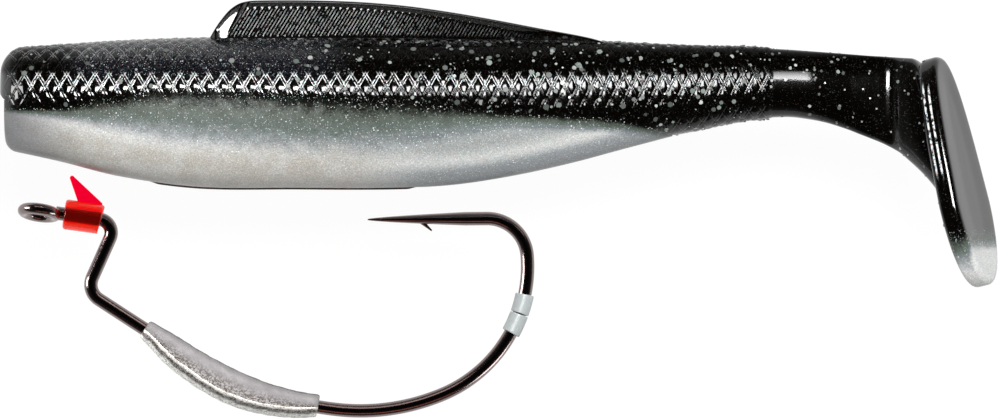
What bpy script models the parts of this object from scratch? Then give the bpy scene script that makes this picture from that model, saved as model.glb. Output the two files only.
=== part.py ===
"""A soft paddle-tail swimbait lying on its right flank, with its keel-weighted hook beside it.

Frame: +X runs from the bait's nose to its tail, +Y towards its back and +Z straight up from the
table. The origin is on the table, under the middle of the whole set. Dimensions are millimetres;
make_object turns them into metres.
"""

import math

import bmesh
import bpy
from mathutils import Matrix, Vector

MM = 0.001
FIT_GAP = 0.1                    # clearance between pieces that touch in the real object
CUTTER_REACH = 40.0              # cutters run this far past the shape they cut

# The bait as a whole
BAIT_LENGTH = 101.7
NOSE_X = -BAIT_LENGTH / 2
MID_Z = 6.6                      # height of the bait's middle plane; its lower flank is flattened here

# Outline of the body: distance from the nose, height of back, height of belly, half thickness
BODY_PROFILE = (
    (0.0, 16.3, 6.2, 4.9),
    (6.0, 16.7, 4.9, 6.0),
    (12.0, 17.1, 3.4, 6.5),
    (20.0, 17.4, 2.3, 6.75),
    (30.0, 17.5, 2.2, 6.75),
    (40.0, 17.5, 2.2, 6.65),
    (46.0, 17.4, 2.5, 6.3),
    (52.0, 17.3, 3.4, 5.75),
    (58.0, 17.2, 4.7, 5.05),
    (64.0, 16.9, 6.3, 4.3),
    (71.0, 16.6, 8.1, 3.5),
    (76.0, 16.5, 9.1, 3.05),
    (80.0, 16.3, 9.4, 2.7),
    (84.0, 16.0, 8.8, 2.3),
    (88.0, 15.7, 7.5, 1.85),
    (92.0, 15.5, 6.0, 1.6),
)
SECTION_POWER = 2.3              # roundness of a cross-section: 2 is an ellipse
SECTION_POINTS = 32
BODY_STATIONS = (
    0.0, 0.15, 0.4, 0.8, 1.3, 2.0, 3.0, 4.5, 6.5, 9.0, 12.0, 15.5, 20.0, 25.0, 30.0, 35.0, 40.0, 44.0,
    48.0, 52.0, 56.0, 60.0, 64.0, 68.0, 71.5, 75.0, 78.0, 80.5, 83.0, 85.5, 88.0, 90.0, 92.0,
)
NOSE_TOP_RADIUS = 2.4
NOSE_CHIN_RADIUS = 1.1
NOSE_SIDE_RADIUS = 3.2
CHIN_SETBACK = 0.5               # the pearl chin starts this far behind the dark lip

# Where the dark back meets the pearl belly: distance from the nose, height
LAMINATION = (
    (-2.0, 11.2), (3.4, 10.1), (7.0, 9.7), (14.0, 10.4), (22.0, 10.8), (32.0, 10.8), (42.0, 10.1),
    (52.0, 9.6), (61.0, 9.0), (65.0, 8.3), (70.0, 7.3),
)
LAMINATION_STEPS = 28
BELLY_SLIT = (15.0, 42.5, 1.4, 4.6)      # start and end from the nose, width, depth
LOWEST_BELLY = min(row[2] for row in BODY_PROFILE)

# The three places where the tail flexes: distance from the nose, radius of the rolling face
TAIL_JOINTS = ((73.7, 4.0), (82.3, 3.1), (90.8, 2.0))

# Dorsal fin: distance from the nose, height above the back
FIN_PROFILE = (
    (21.6, 0.4), (22.4, 1.7), (23.4, 2.9), (24.8, 3.6), (27.0, 3.8), (34.5, 3.7), (40.6, 3.3), (45.7, 2.7),
    (50.8, 1.9), (55.9, 1.0), (60.0, 0.35),
)
FIN_SLOT = 0.9                   # gap between the two halves, where the hook point hides
FIN_ROOT_THICKNESS = 1.5         # of one half
FIN_TOP_THICKNESS = 1.0

# Paddle, seen from behind: it is a flat plate on a thin web, kicked to one side at rest
PADDLE_KICK = math.radians(-21.0)
PADDLE_TILT = math.radians(13.4)
PADDLE_REACH = 7.2               # from the wrist's axis to the plate's middle
PADDLE_THICKNESS = 1.6
PADDLE_HALF_WIDTH = 5.5
PADDLE_RISE = 15.4               # from the widest level to the top
PADDLE_DROP = 8.4                # from the widest level to the bottom
PADDLE_WIDEST_Y = 0.4
PADDLE_TAPER = 1.6               # loss of half width towards the top
PEARL_TIP_Y = -2.9
# Web between wrist and plate: distance from the axis, top, bottom, half thickness, backward lean
WEB_SECTIONS = (
    (-2.3, 15.65, 7.2, 1.85, 0.0),
    (0.0, 15.5, 6.2, 1.6, 0.0),
    (1.0, 15.45, 5.2, 1.62, 0.015),
    (2.0, 15.4, 3.9, 1.9, 0.05),
    (3.0, 15.3, 1.4, 2.6, 0.12),
    (4.2, 15.0, -1.2, 3.6, 0.238),
)

# Hook, bent from round wire: the eye end, then each straight length or bend (radius, turn in degrees)
WIRE_RADIUS = 0.7
WIRE_START = (-45.4, -0.35)
WIRE_HEADING = -8.0
WIRE_BENDS = (
    (4.5,),
    (1.4, -106.0),
    (4.4,),
    (1.8, 81.0),
    (10.4,),
    (36.0, 26.5),
    (21.8, 29.0),
    (14.2, 72.0),                # the two silicone bands slide along this bend
    (4.1, 86.0),
    (12.2,),
)
POINT_TAPER = 10.0
POINT_RADIUS = 0.06
POINT_FULLNESS = 0.7             # under 1 swells the taper into a needle's shape
WIRE_SIDES = 12
BARB_SIDES = 8
EYE_RADIUS = 1.65                # to the middle of the ring's wire
EYE_WIRE_RADIUS = 0.6
EYE_DROP = 0.2                   # the ring sits this far below the line of the wire
EYE_ROLL = math.radians(11.0)
BARB_ROOT = (5.4, 0.15, 0.32)    # back from the point, height over the wire's middle, radius
BARB_TIP = (6.74, 1.45, 0.08)
HOOK_HEIGHT = 2.18               # of the wire's middle over the table, at the eye
HOOK_TILT = math.radians(2.7)    # the hook leans on its weight until its bend touches the table
HOOK_TILT_HEADING = math.radians(-39.0)

# Pieces on the hook's wire, placed by their distance along it
COLLAR_SPAN = (1.0, 4.65)
COLLAR_RADIUS = 1.55
BARB_OUTLINE = ((2.35, 1.68), (4.6, 1.68), (2.6, 2.7), (1.4, 3.85), (1.05, 3.8), (1.6, 2.7))
BARB_THICKNESS = 0.9
BAND_RADIUS = 0.96
BAND_WALL = 0.19
LOWER_BAND_SPAN = (61.75, 63.85)
UPPER_BAND_SPAN = (63.95, 65.95)
BORE_OVERRUN = 2.0               # the weight's bore is cut this far past its ends
# Weight: distance along the wire, reach above the wire, reach below it, half thickness
WEIGHT_SECTIONS = (
    (19.6, 1.05, 1.05, 1.15),
    (20.6, 1.1, 1.2, 1.5),
    (23.0, 1.2, 1.8, 1.95),
    (26.5, 1.25, 2.2, 2.2),
    (30.0, 1.2, 2.4, 2.25),
    (33.2, 1.15, 2.2, 2.25),
    (36.2, 1.15, 1.75, 2.2),
    (39.2, 1.25, 1.1, 2.0),
)
WEIGHT_TOP_SHARES = (0.35, 0.62)         # of the half thickness, along the top and at its bevel
WEIGHT_BOTTOM_SHARES = (0.9, 1.0, 0.82, 0.3)
WEIGHT_TOP_BEVEL = 0.25
WEIGHT_KEEL_BEVELS = (1.0, 0.55)         # heights over the bottom where the keel turns in
WEIGHT_SHOULDER = (0.2, 0.3)             # the shoulder's height, and its fall per mm of depth


# ---------------------------------------------------------------- general tools

def value_along(rows, at, column):
    """One column of a table at a given first-column value, on a cubic curve through the rows."""
    last = len(rows) - 1
    index = 0
    while index < last - 1 and at > rows[index + 1][0]:
        index += 1

    def slope(row):
        before, after = rows[max(row - 1, 0)], rows[min(row + 1, last)]
        return (after[column] - before[column]) / (after[0] - before[0])

    start, end = rows[index], rows[index + 1]
    span = end[0] - start[0]
    t = min(max((at - start[0]) / span, 0.0), 1.0)
    return (
        (2 * t**3 - 3 * t**2 + 1) * start[column]
        + (t**3 - 2 * t**2 + t) * span * slope(index)
        + (3 * t**2 - 2 * t**3) * end[column]
        + (t**3 - t**2) * span * slope(index + 1)
    )


def signed_power(value, power):
    return math.copysign(abs(value) ** power, value)


def make_object(name, points, faces, finish, parent=None, helper=False):
    """A mesh object from points in millimetres; a helper is a cutter that is not part of the model."""
    mesh = bpy.data.meshes.new(name)
    mesh.from_pydata([Vector(point) * MM for point in points], [], faces)
    work = bmesh.new()
    work.from_mesh(mesh)
    bmesh.ops.recalc_face_normals(work, faces=work.faces)
    work.to_mesh(mesh)
    work.free()
    mesh.shade_smooth()
    mesh.set_sharp_from_angle(angle=math.radians(35))
    obj = bpy.data.objects.new(name, mesh)
    bpy.context.scene.collection.objects.link(obj)
    obj.parent = parent
    if helper:
        obj.hide_render = True
        obj.display_type = "WIRE"
    else:
        mesh.materials.append(finish)
    return obj


def loft(rings, closed=False):
    """Points and faces of a skin over equal rings of points, capped at its ends unless closed."""
    size = len(rings[0])
    points = [point for ring in rings for point in ring]
    faces = []
    steps = len(rings) if closed else len(rings) - 1
    for step in range(steps):
        a = step * size
        b = (step + 1) % len(rings) * size
        for i in range(size):
            j = (i + 1) % size
            faces.append((a + i, a + j, b + j, b + i))
    if not closed:
        faces.append(tuple(range(size)))
        faces.append(tuple(range(len(points) - size, len(points))))
    return points, faces


def prism(outline, to_point, low, high):
    """Points and faces of an outline pushed from low to high; to_point(a, b, level) places them."""
    return loft([[to_point(a, b, level) for a, b in outline] for level in (low, high)])


def boolean(obj, operation, other):
    modifier = obj.modifiers.new(f"{operation.lower()} {other.name}", "BOOLEAN")
    modifier.operation = operation
    modifier.object = other
    modifier.solver = "EXACT"


def set_origin(obj, point):
    """Moves an unparented object's origin to a point, leaving its shape where it is."""
    place = Vector(point) * MM
    obj.data.transform(Matrix.Translation(-place))
    obj.location = place


def finish_of(name, colour, roughness, metallic=0.0):
    material = bpy.data.materials.new(name)
    material.use_nodes = True
    shader = material.node_tree.nodes["Principled BSDF"]
    shader.inputs["Base Color"].default_value = (*colour, 1.0)
    shader.inputs["Roughness"].default_value = roughness
    shader.inputs["Metallic"].default_value = metallic
    material.diffuse_color = (*colour, 1.0)
    return material


# ---------------------------------------------------------------- body of the bait

def corner_drop(distance, radius):
    """How far a corner rounded to this radius falls short of the full outline near its end face."""
    if distance >= radius:
        return 0.0
    return radius - math.sqrt(radius**2 - (radius - distance) ** 2)


def section(x, top, bottom, half, lean=0.0):
    """A rounded cross-section of the bait as a ring of points, flattened where it would pass the table."""
    middle, rise = (top + bottom) / 2, (top - bottom) / 2
    ring = []
    for step in range(SECTION_POINTS):
        angle = 2 * math.pi * step / SECTION_POINTS
        y = middle + rise * signed_power(math.cos(angle), 2 / SECTION_POWER)
        z = half * signed_power(math.sin(angle), 2 / SECTION_POWER)
        ring.append((x + lean * (top - y), y, max(z, -MID_Z)))
    return ring


def body_section(distance):
    top = value_along(BODY_PROFILE, distance, 1) - corner_drop(distance, NOSE_TOP_RADIUS)
    bottom = value_along(BODY_PROFILE, distance, 2) + corner_drop(distance, NOSE_CHIN_RADIUS)
    half = value_along(BODY_PROFILE, distance, 3) - corner_drop(distance, NOSE_SIDE_RADIUS)
    return [(x, y, MID_Z + z) for x, y, z in section(NOSE_X + distance, top, bottom, half)]


def flex_region(name, front_joint, rear_joint):
    """A cutter that keeps the stretch between two flex lines, seen from the back.

    A stretch starts with a round face about its own flex line and ends in a hollow that the next
    stretch rolls in. None for a joint leaves that end of the stretch open.
    """
    reach = CUTTER_REACH
    outline = []
    if front_joint is None:
        outline += [(NOSE_X - reach, -reach), (NOSE_X - reach, reach)]
    else:
        x, radius = NOSE_X + front_joint[0], front_joint[1]
        outline.append((x, -reach))
        outline += flex_arc(x, radius)
        outline.append((x, reach))
    if rear_joint is None:
        outline += [(-NOSE_X + reach, reach), (-NOSE_X + reach, -reach)]
    else:
        x, radius = NOSE_X + rear_joint[0], rear_joint[1] + FIT_GAP
        outline.append((x, reach))
        outline += reversed(flex_arc(x, radius))
        outline.append((x, -reach))
    points, faces = prism(outline, lambda a, b, level: (a, level, MID_Z + b), -reach, reach)
    return make_object(name, points, faces, None, helper=True)


def flex_arc(x, radius, steps=20):
    """Half circle about a flex line, bulging towards the nose, from one flank to the other."""
    angles = [math.pi * step / steps - math.pi / 2 for step in range(steps + 1)]
    return [(x - radius * math.cos(angle), radius * math.sin(angle)) for angle in angles]


def lamination_region(name, upper):
    """A cutter that keeps the dark back (upper) or the pearl belly."""
    side = FIT_GAP / 2 if upper else -FIT_GAP / 2
    start = LAMINATION[0][0] if upper else CHIN_SETBACK
    end = LAMINATION[-1][0]
    line = []
    for step in range(LAMINATION_STEPS + 1):
        distance = start + (end - start) * step / LAMINATION_STEPS
        line.append((NOSE_X + distance, value_along(LAMINATION, distance, 1) + side))
    reach = CUTTER_REACH
    if upper:
        line += [(NOSE_X + BAIT_LENGTH, -reach), (NOSE_X + BAIT_LENGTH, reach), (line[0][0], reach)]
    else:
        line += [(line[-1][0], -reach), (line[0][0], -reach)]
    points, faces = prism(line, lambda a, b, level: (a, b, level), -reach, reach)
    return make_object(name, points, faces, None, helper=True)


def box(name, low, high, parent=None):
    outline = ((low[0], low[1]), (high[0], low[1]), (high[0], high[1]), (low[0], high[1]))
    points, faces = prism(outline, lambda a, b, level: (a, b, level), low[2], high[2])
    return make_object(name, points, faces, None, parent, helper=True)


def build_body(dark, pearl):
    points, faces = loft([body_section(distance) for distance in BODY_STATIONS])
    first, second, wrist = TAIL_JOINTS

    front = flex_region("front_region", None, first)
    back = make_object("back_laminate", points, faces, dark)
    boolean(back, "INTERSECT", lamination_region("back_region", True))
    boolean(back, "INTERSECT", front)

    belly = make_object("belly_laminate", points, faces, pearl)
    boolean(belly, "INTERSECT", lamination_region("belly_region", False))
    start, end, width, depth = BELLY_SLIT
    slit = box(
        "belly_slit",
        (NOSE_X + start, LOWEST_BELLY - CUTTER_REACH, MID_Z - width / 2),
        (NOSE_X + end, LOWEST_BELLY + depth, MID_Z + width / 2),
    )
    boolean(belly, "DIFFERENCE", slit)

    for name, ahead, behind in (("tail_root", first, second), ("tail_stalk", second, wrist)):
        piece = make_object(name, points, faces, dark)
        boolean(piece, "INTERSECT", flex_region(f"{name}_region", ahead, behind))
        set_origin(piece, (NOSE_X + ahead[0], value_along(BODY_PROFILE, ahead[0], 1), MID_Z))


def build_fin(name, side, dark):
    """One half of the dorsal fin; side is +1 for the upper flank and -1 for the lower one."""
    inner = FIN_SLOT / 2
    rings = []
    for distance, height in FIN_PROFILE:
        x = NOSE_X + distance
        root = value_along(BODY_PROFILE, distance, 1) + FIT_GAP
        top = root + height - FIT_GAP
        ring = [
            (x, root, MID_Z + side * inner),
            (x, root, MID_Z + side * (inner + FIN_ROOT_THICKNESS)),
            (x, top, MID_Z + side * (inner + FIN_TOP_THICKNESS)),
            (x, top, MID_Z + side * inner),
        ]
        rings.append(ring)
    points, faces = loft(rings)
    fin = make_object(name, points, faces, dark)
    root_y = value_along(BODY_PROFILE, FIN_PROFILE[0][0], 1) + FIT_GAP
    set_origin(fin, (NOSE_X + FIN_PROFILE[0][0], root_y, MID_Z + side * (inner + FIN_ROOT_THICKNESS)))


# ---------------------------------------------------------------- paddle

def paddle_half_width(rise):
    """Half width of the plate at a height above its widest level."""
    if rise >= 0:
        t = min(rise / PADDLE_RISE, 1.0)
        return (PADDLE_HALF_WIDTH - PADDLE_TAPER * t) * (1 - t**4) ** 0.4
    t = min(-rise / PADDLE_DROP, 1.0)
    return PADDLE_HALF_WIDTH * math.sqrt(1 - t * t)


def paddle_outline(steps=18):
    """The plate's edge, seen from behind: (sideways, height above the widest level)."""
    side = []
    for step in range(1, steps):
        turn = math.pi * step / steps
        rise = PADDLE_RISE * math.cos(turn) if turn < math.pi / 2 else PADDLE_DROP * math.cos(turn)
        side.append((paddle_half_width(rise), rise))
    other = [(-across, rise) for across, rise in reversed(side)]
    return [(0.0, PADDLE_RISE)] + side + [(0.0, -PADDLE_DROP)] + other


def build_paddle(dark, pearl):
    """The paddle in its own frame: origin on the wrist's axis, heights as in the world frame."""
    wrist = bpy.data.objects.new("paddle_wrist", None)
    bpy.context.scene.collection.objects.link(wrist)
    wrist.location = Vector((NOSE_X + TAIL_JOINTS[2][0], 0.0, MID_Z)) * MM
    wrist.rotation_euler = (0.0, PADDLE_KICK, 0.0)

    lean, across = math.sin(PADDLE_TILT), math.cos(PADDLE_TILT)
    middle_y = PADDLE_WIDEST_Y + (PADDLE_RISE - PADDLE_DROP) / 2 * across

    def plate_point(sideways, rise, level):
        y = PADDLE_WIDEST_Y + rise * across
        x = PADDLE_REACH + (middle_y - y) * lean / across
        return (x + level * across, y + level * lean, sideways)

    half = PADDLE_THICKNESS / 2
    plate_points, plate_faces = prism(paddle_outline(), plate_point, -half, half)
    rings = [section(*row) for row in WEB_SECTIONS]
    web_points, web_faces = loft(rings)

    reach = CUTTER_REACH
    outline = [(0.0, -reach)] + flex_arc(0.0, TAIL_JOINTS[2][1])
    outline += [(0.0, reach), (reach, reach), (reach, -reach)]
    keep_points, keep_faces = prism(outline, lambda a, b, level: (a, level, b), -reach, reach)
    keep = make_object("wrist_region", keep_points, keep_faces, None, wrist, helper=True)

    plate = make_object("paddle_plate", plate_points, plate_faces, None, wrist, helper=True)
    tip_top = PEARL_TIP_Y - FIT_GAP / 2
    tip_region = box("tip_region", (-reach, -reach, -reach), (reach, tip_top, reach), wrist)
    dark_region = box("dark_region", (-reach, tip_top + FIT_GAP, -reach), (reach, reach, reach), wrist)

    paddle = make_object("paddle", web_points, web_faces, dark, wrist)
    boolean(paddle, "UNION", plate)
    boolean(paddle, "INTERSECT", keep)
    boolean(paddle, "INTERSECT", dark_region)

    tip = make_object("paddle_tip", plate_points, plate_faces, pearl, wrist)
    boolean(tip, "INTERSECT", tip_region)


# ---------------------------------------------------------------- hook

def wire_path(step=0.5):
    """The wire's middle line as (distance along it, x, y, heading), with its bends cut fine."""
    x, y = WIRE_START
    heading = math.radians(WIRE_HEADING)
    along = 0.0
    path = [(along, x, y, heading)]
    for bend in WIRE_BENDS:
        radius = bend[0]
        if len(bend) == 1:
            pieces = max(1, round(radius / 3.0))
            for _ in range(pieces):
                x += math.cos(heading) * radius / pieces
                y += math.sin(heading) * radius / pieces
                along += radius / pieces
                path.append((along, x, y, heading))
            continue
        turn = math.radians(bend[1])
        length = abs(turn) * radius
        pieces = max(6, round(length / (2 * step)), round(abs(bend[1]) / 12))
        side = math.copysign(1.0, turn)
        centre_x = x - math.sin(heading) * radius * side
        centre_y = y + math.cos(heading) * radius * side
        for piece in range(1, pieces + 1):
            angle = heading + turn * piece / pieces
            x = centre_x + math.sin(angle) * radius * side
            y = centre_y - math.cos(angle) * radius * side
            path.append((along + length * piece / pieces, x, y, angle))
        heading += turn
        along += length
    return path


WIRE = wire_path()
WIRE_LENGTH = WIRE[-1][0]


def wire_at(along):
    """(x, y, heading) at a distance along the wire."""
    for before, after in zip(WIRE, WIRE[1:]):
        if along <= after[0]:
            break
    t = (along - before[0]) / (after[0] - before[0])
    return tuple(a + (b - a) * t for a, b in zip(before[1:], after[1:]))


def ring_about(place, radius, sides):
    """A circle of points round the wire at (x, y, heading)."""
    x, y, heading = place
    ring = []
    for side in range(sides):
        angle = 2 * math.pi * side / sides
        up = radius * math.cos(angle)
        ring.append((x - math.sin(heading) * up, y + math.cos(heading) * up, radius * math.sin(angle)))
    return ring


def span_places(span, pieces):
    start, end = span
    return [wire_at(start + (end - start) * piece / pieces) for piece in range(pieces + 1)]


def sleeve_shape(span, outer, inner, pieces, sides=20):
    """A tube with an open bore along a stretch of the wire."""
    places = span_places(span, pieces)
    rings = [ring_about(place, outer, sides) for place in places]
    rings += [ring_about(place, inner, sides) for place in reversed(places)]
    return loft(rings, closed=True)


def eye_shape(steps=28, sides=10):
    """The eye's ring. It stands on edge beside the wire's end, rolled a little about the wire."""
    heading = math.radians(WIRE_HEADING)
    ahead = Vector((math.cos(heading), math.sin(heading), 0.0))
    beside = Vector((-math.sin(heading), math.cos(heading), 0.0))
    upright = Vector((0.0, 0.0, 1.0)) * math.cos(EYE_ROLL) + beside * math.sin(EYE_ROLL)
    normal = ahead.cross(upright)
    centre = Vector((*WIRE_START, 0.0)) - ahead * EYE_RADIUS - beside * EYE_DROP
    rings = []
    for step in range(steps):
        turn = 2 * math.pi * step / steps
        out = ahead * math.cos(turn) + upright * math.sin(turn)
        middle = centre + out * EYE_RADIUS
        ring = []
        for side in range(sides):
            angle = 2 * math.pi * side / sides
            ring.append(middle + (out * math.cos(angle) + normal * math.sin(angle)) * EYE_WIRE_RADIUS)
        rings.append(ring)
    return loft(rings, closed=True)


def build_hook(frame, steel):
    rings = []
    for along, *place in WIRE:
        left = WIRE_LENGTH - along
        share = min(left / POINT_TAPER, 1.0)
        radius = POINT_RADIUS + (WIRE_RADIUS - POINT_RADIUS) * share**POINT_FULLNESS
        rings.append(ring_about(place, radius, WIRE_SIDES))
    points, faces = loft(rings)
    hook = make_object("hook", points, faces, steel, frame)

    eye_points, eye_faces = eye_shape()
    boolean(hook, "UNION", make_object("hook_eye", eye_points, eye_faces, None, frame, helper=True))

    ends = []
    for from_point, height, radius in (BARB_ROOT, BARB_TIP):
        x, y, heading = wire_at(WIRE_LENGTH - from_point)
        ends.append((x - math.sin(heading) * height, y + math.cos(heading) * height, radius))
    (root_x, root_y, _), (tip_x, tip_y, _) = ends
    heading = math.atan2(tip_y - root_y, tip_x - root_x)
    barb_rings = [ring_about((x, y, heading), radius, BARB_SIDES) for x, y, radius in ends]
    barb_points, barb_faces = loft(barb_rings)
    boolean(hook, "UNION", make_object("hook_barb", barb_points, barb_faces, None, frame, helper=True))


def weight_section(row):
    """The keel weight across the wire: narrow on top, widest near the bottom, bevelled below."""
    along, above, below, half = row
    x, y, heading = wire_at(along)
    shoulder, fall = WEIGHT_SHOULDER
    heights = [above, above - WEIGHT_TOP_BEVEL, shoulder - fall * below]
    heights += [bevel - below for bevel in WEIGHT_KEEL_BEVELS] + [-below]
    side = list(zip(heights, WEIGHT_TOP_SHARES + WEIGHT_BOTTOM_SHARES))
    shape = [(above, 0.0)] + side + [(up, -share) for up, share in reversed(side)]
    return [
        (x - math.sin(heading) * up, y + math.cos(heading) * up, share * half) for up, share in shape
    ]


def build_weight(frame, lead):
    points, faces = loft([weight_section(row) for row in WEIGHT_SECTIONS])
    weight = make_object("keel_weight", points, faces, lead, frame)
    start, end = WEIGHT_SECTIONS[0][0] - BORE_OVERRUN, WEIGHT_SECTIONS[-1][0] + BORE_OVERRUN
    places = span_places((start, end), 24)
    bore_points, bore_faces = loft([ring_about(place, WIRE_RADIUS + FIT_GAP, 16) for place in places])
    bore = make_object("weight_bore", bore_points, bore_faces, None, frame, helper=True)
    boolean(weight, "DIFFERENCE", bore)


def build_keeper(frame, orange, crimson):
    shape = sleeve_shape(COLLAR_SPAN, COLLAR_RADIUS, WIRE_RADIUS + FIT_GAP, 3)
    make_object("keeper_collar", *shape, orange, frame)

    x, y = WIRE_START
    heading = math.radians(WIRE_HEADING)

    def barb_point(along, up, level):
        return (
            x + math.cos(heading) * along - math.sin(heading) * up,
            y + math.sin(heading) * along + math.cos(heading) * up,
            level,
        )

    shape = prism(BARB_OUTLINE, barb_point, -BARB_THICKNESS / 2, BARB_THICKNESS / 2)
    make_object("keeper_barb", *shape, crimson, frame)


def build_bands(frame, silicone):
    for name, span in (("upper_sleeve", UPPER_BAND_SPAN), ("lower_sleeve", LOWER_BAND_SPAN)):
        shape = sleeve_shape(span, BAND_RADIUS, BAND_RADIUS - BAND_WALL, 4)
        make_object(name, *shape, silicone, frame)


def hook_frame():
    """The hook's own plane, tilted about the line from its eye to its weight."""
    frame = bpy.data.objects.new("hook_frame", None)
    bpy.context.scene.collection.objects.link(frame)
    eye = Vector((*WIRE_START, 0.0)) * MM
    axis = Vector((math.cos(HOOK_TILT_HEADING), math.sin(HOOK_TILT_HEADING), 0.0))
    lift = Matrix.Translation((0.0, 0.0, HOOK_HEIGHT * MM))
    tilt = Matrix.Translation(eye) @ Matrix.Rotation(-HOOK_TILT, 4, axis) @ Matrix.Translation(-eye)
    frame.matrix_world = lift @ tilt
    return frame


def build():
    for obj in list(bpy.data.objects):
        bpy.data.objects.remove(obj, do_unlink=True)

    dark = finish_of("dark_plastic", (0.02, 0.022, 0.02), 0.25)
    pearl = finish_of("pearl_plastic", (0.55, 0.55, 0.52), 0.35)
    steel = finish_of("black_nickel", (0.1, 0.09, 0.1), 0.2, 1.0)
    lead = finish_of("lead", (0.5, 0.5, 0.52), 0.6, 0.6)
    orange = finish_of("orange_keeper", (1.0, 0.05, 0.02), 0.3)
    crimson = finish_of("crimson_barb", (0.9, 0.0, 0.04), 0.3)
    silicone = finish_of("clear_silicone", (0.85, 0.88, 0.88), 0.3)

    build_body(dark, pearl)
    build_fin("left_fin", 1, dark)
    build_fin("right_fin", -1, dark)
    build_paddle(dark, pearl)

    frame = hook_frame()
    build_hook(frame, steel)
    build_weight(frame, lead)
    build_keeper(frame, orange, crimson)
    build_bands(frame, silicone)
    bpy.context.view_layer.update()


build()
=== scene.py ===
"""Looks of the paddle-tail swimbait and its keel-weighted hook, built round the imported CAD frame.

Frame: +X runs from the bait's nose to its tail, +Y towards its back and +Z up from the table. Shapes are
worked out in millimetres as numpy arrays of points, and make_object turns them into metres.
"""

import math

import bmesh
import bpy
import numpy as np
from mathutils import Matrix, Quaternion, Vector, noise


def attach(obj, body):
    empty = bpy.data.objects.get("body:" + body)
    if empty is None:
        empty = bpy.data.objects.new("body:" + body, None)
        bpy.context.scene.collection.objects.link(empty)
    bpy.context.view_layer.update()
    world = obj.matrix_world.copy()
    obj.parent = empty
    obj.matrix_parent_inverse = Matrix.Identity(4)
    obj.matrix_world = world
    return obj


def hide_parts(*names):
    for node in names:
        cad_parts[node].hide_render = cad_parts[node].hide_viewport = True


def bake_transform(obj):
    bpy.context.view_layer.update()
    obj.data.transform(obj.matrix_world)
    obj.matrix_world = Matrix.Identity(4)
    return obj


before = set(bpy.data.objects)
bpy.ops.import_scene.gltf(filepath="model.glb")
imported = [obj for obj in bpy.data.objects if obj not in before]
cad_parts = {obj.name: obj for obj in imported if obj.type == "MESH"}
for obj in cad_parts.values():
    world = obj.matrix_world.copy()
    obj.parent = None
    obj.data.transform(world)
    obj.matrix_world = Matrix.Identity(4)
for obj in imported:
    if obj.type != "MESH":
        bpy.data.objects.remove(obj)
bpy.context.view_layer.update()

MM = 0.001
RANDOM = np.random.default_rng(7)

# ---------------------------------------------------------------- the bait's own measures

BAIT_LENGTH = 101.7
NOSE_X = -BAIT_LENGTH / 2
MID_Z = 6.6                      # height of the bait's middle plane over the table
SECTION_POWER = 2.3

# Distance from the nose, height of back, height of belly, half thickness
BODY_PROFILE = (
    (0.0, 16.3, 6.2, 4.9),
    (6.0, 16.7, 4.9, 6.0),
    (12.0, 17.1, 3.4, 6.5),
    (20.0, 17.4, 2.3, 6.75),
    (30.0, 17.5, 2.2, 6.75),
    (40.0, 17.5, 2.2, 6.65),
    (46.0, 17.4, 2.5, 6.3),
    (52.0, 17.3, 3.4, 5.75),
    (58.0, 17.2, 4.7, 5.05),
    (64.0, 16.9, 6.3, 4.3),
    (71.0, 16.6, 8.1, 3.5),
    (76.0, 16.5, 9.1, 3.0),
    (80.0, 16.3, 9.4, 2.68),
    (82.4, 16.13, 9.15, 2.45),
    (84.5, 15.97, 8.7, 2.08),
    (88.0, 15.7, 7.5, 1.45),
    (92.0, 15.5, 6.0, 0.9),
)
# Level of the widest line, and how square the section is above it: distance from the nose, level, power
WAIST = (
    (0.0, 11.3, 2.1),
    (45.0, 11.35, 2.0),
    (60.0, 11.4, 2.4),
    (72.0, 11.7, 2.6),
    (80.0, 12.6, 2.5),
    (88.0, 11.6, 2.6),
)
NOSE_TOP_RADIUS = 2.4
NOSE_CHIN_RADIUS = 1.1
NOSE_SIDE_RADIUS = 3.2
CHIN_SETBACK = 0.5
CHIN_LIP = 0.18                  # the pearl chin's front edge is rounded by this much

LOBE_REACH = 2.4                 # the dark back's lower front corner is rounded by these
LOBE_RISE = 1.35

# Where the dark back meets the pearl belly: distance from the nose, height
LAMINATION = (
    (-2.0, 11.2), (3.4, 10.1), (7.0, 9.7), (14.0, 10.4), (22.0, 10.8), (32.0, 10.8), (42.0, 10.1),
    (52.0, 9.6), (61.0, 9.0), (65.0, 8.3), (70.0, 7.3),
)
# Height where the dark colour starts to thin out, and where the pearl is clear of it
DARK_ENDS = (
    (0.0, 10.2), (3.4, 10.1), (7.0, 10.2), (10.5, 10.7), (17.0, 11.5), (26.5, 11.3), (35.6, 10.5),
    (42.8, 10.2), (51.0, 9.6), (61.0, 9.05), (65.0, 8.45), (70.0, 7.4), (74.0, 6.0),
)
PEARL_STARTS = (
    (0.0, 9.9), (3.4, 9.6), (7.0, 9.3), (10.5, 8.9), (17.0, 8.2), (26.5, 7.3), (35.6, 7.0),
    (42.8, 7.6), (51.0, 8.45), (61.0, 8.2), (65.0, 7.7), (70.0, 6.9), (74.0, 5.0),
)
# Belly slit: start, end, width, depth, and how far its far lip hangs past the near one
BELLY_SLIT = (15.0, 42.5, 1.4, 4.6, 0.2)
SLIT_ACROSS = np.array([0.96, 0.92, 0.88, 0.6, 0.25])  # down one wall and across its floor, share of half
SLIT_FALL = np.array([0.33, 0.66, 1.0, 1.0, 1.0])      # its width, and share of its depth

# Diamond scale relief: pitch along the body near the nose and near the tail, height of one diamond,
# the level that the middles of one row follow, and the height of a diamond's dome at either end
SCALE_PITCH = (1.441, 1.335)
SCALE_PITCH_CHANGES = (40.0, 58.0)
SCALE_HEIGHT = 2.55
SCALE_ROW = 12.45
SCALE_DOME = (0.16, 0.17)
SCALE_DOME_CHANGES = (42.0, 62.0)
SCALE_RIDGE = 0.035
SCALE_RIDGE_WIDTH = 0.16
FIRST_SCALE = 17.04 - 11.5 * SCALE_PITCH[0]
SCALES_END = 78.7

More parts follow.
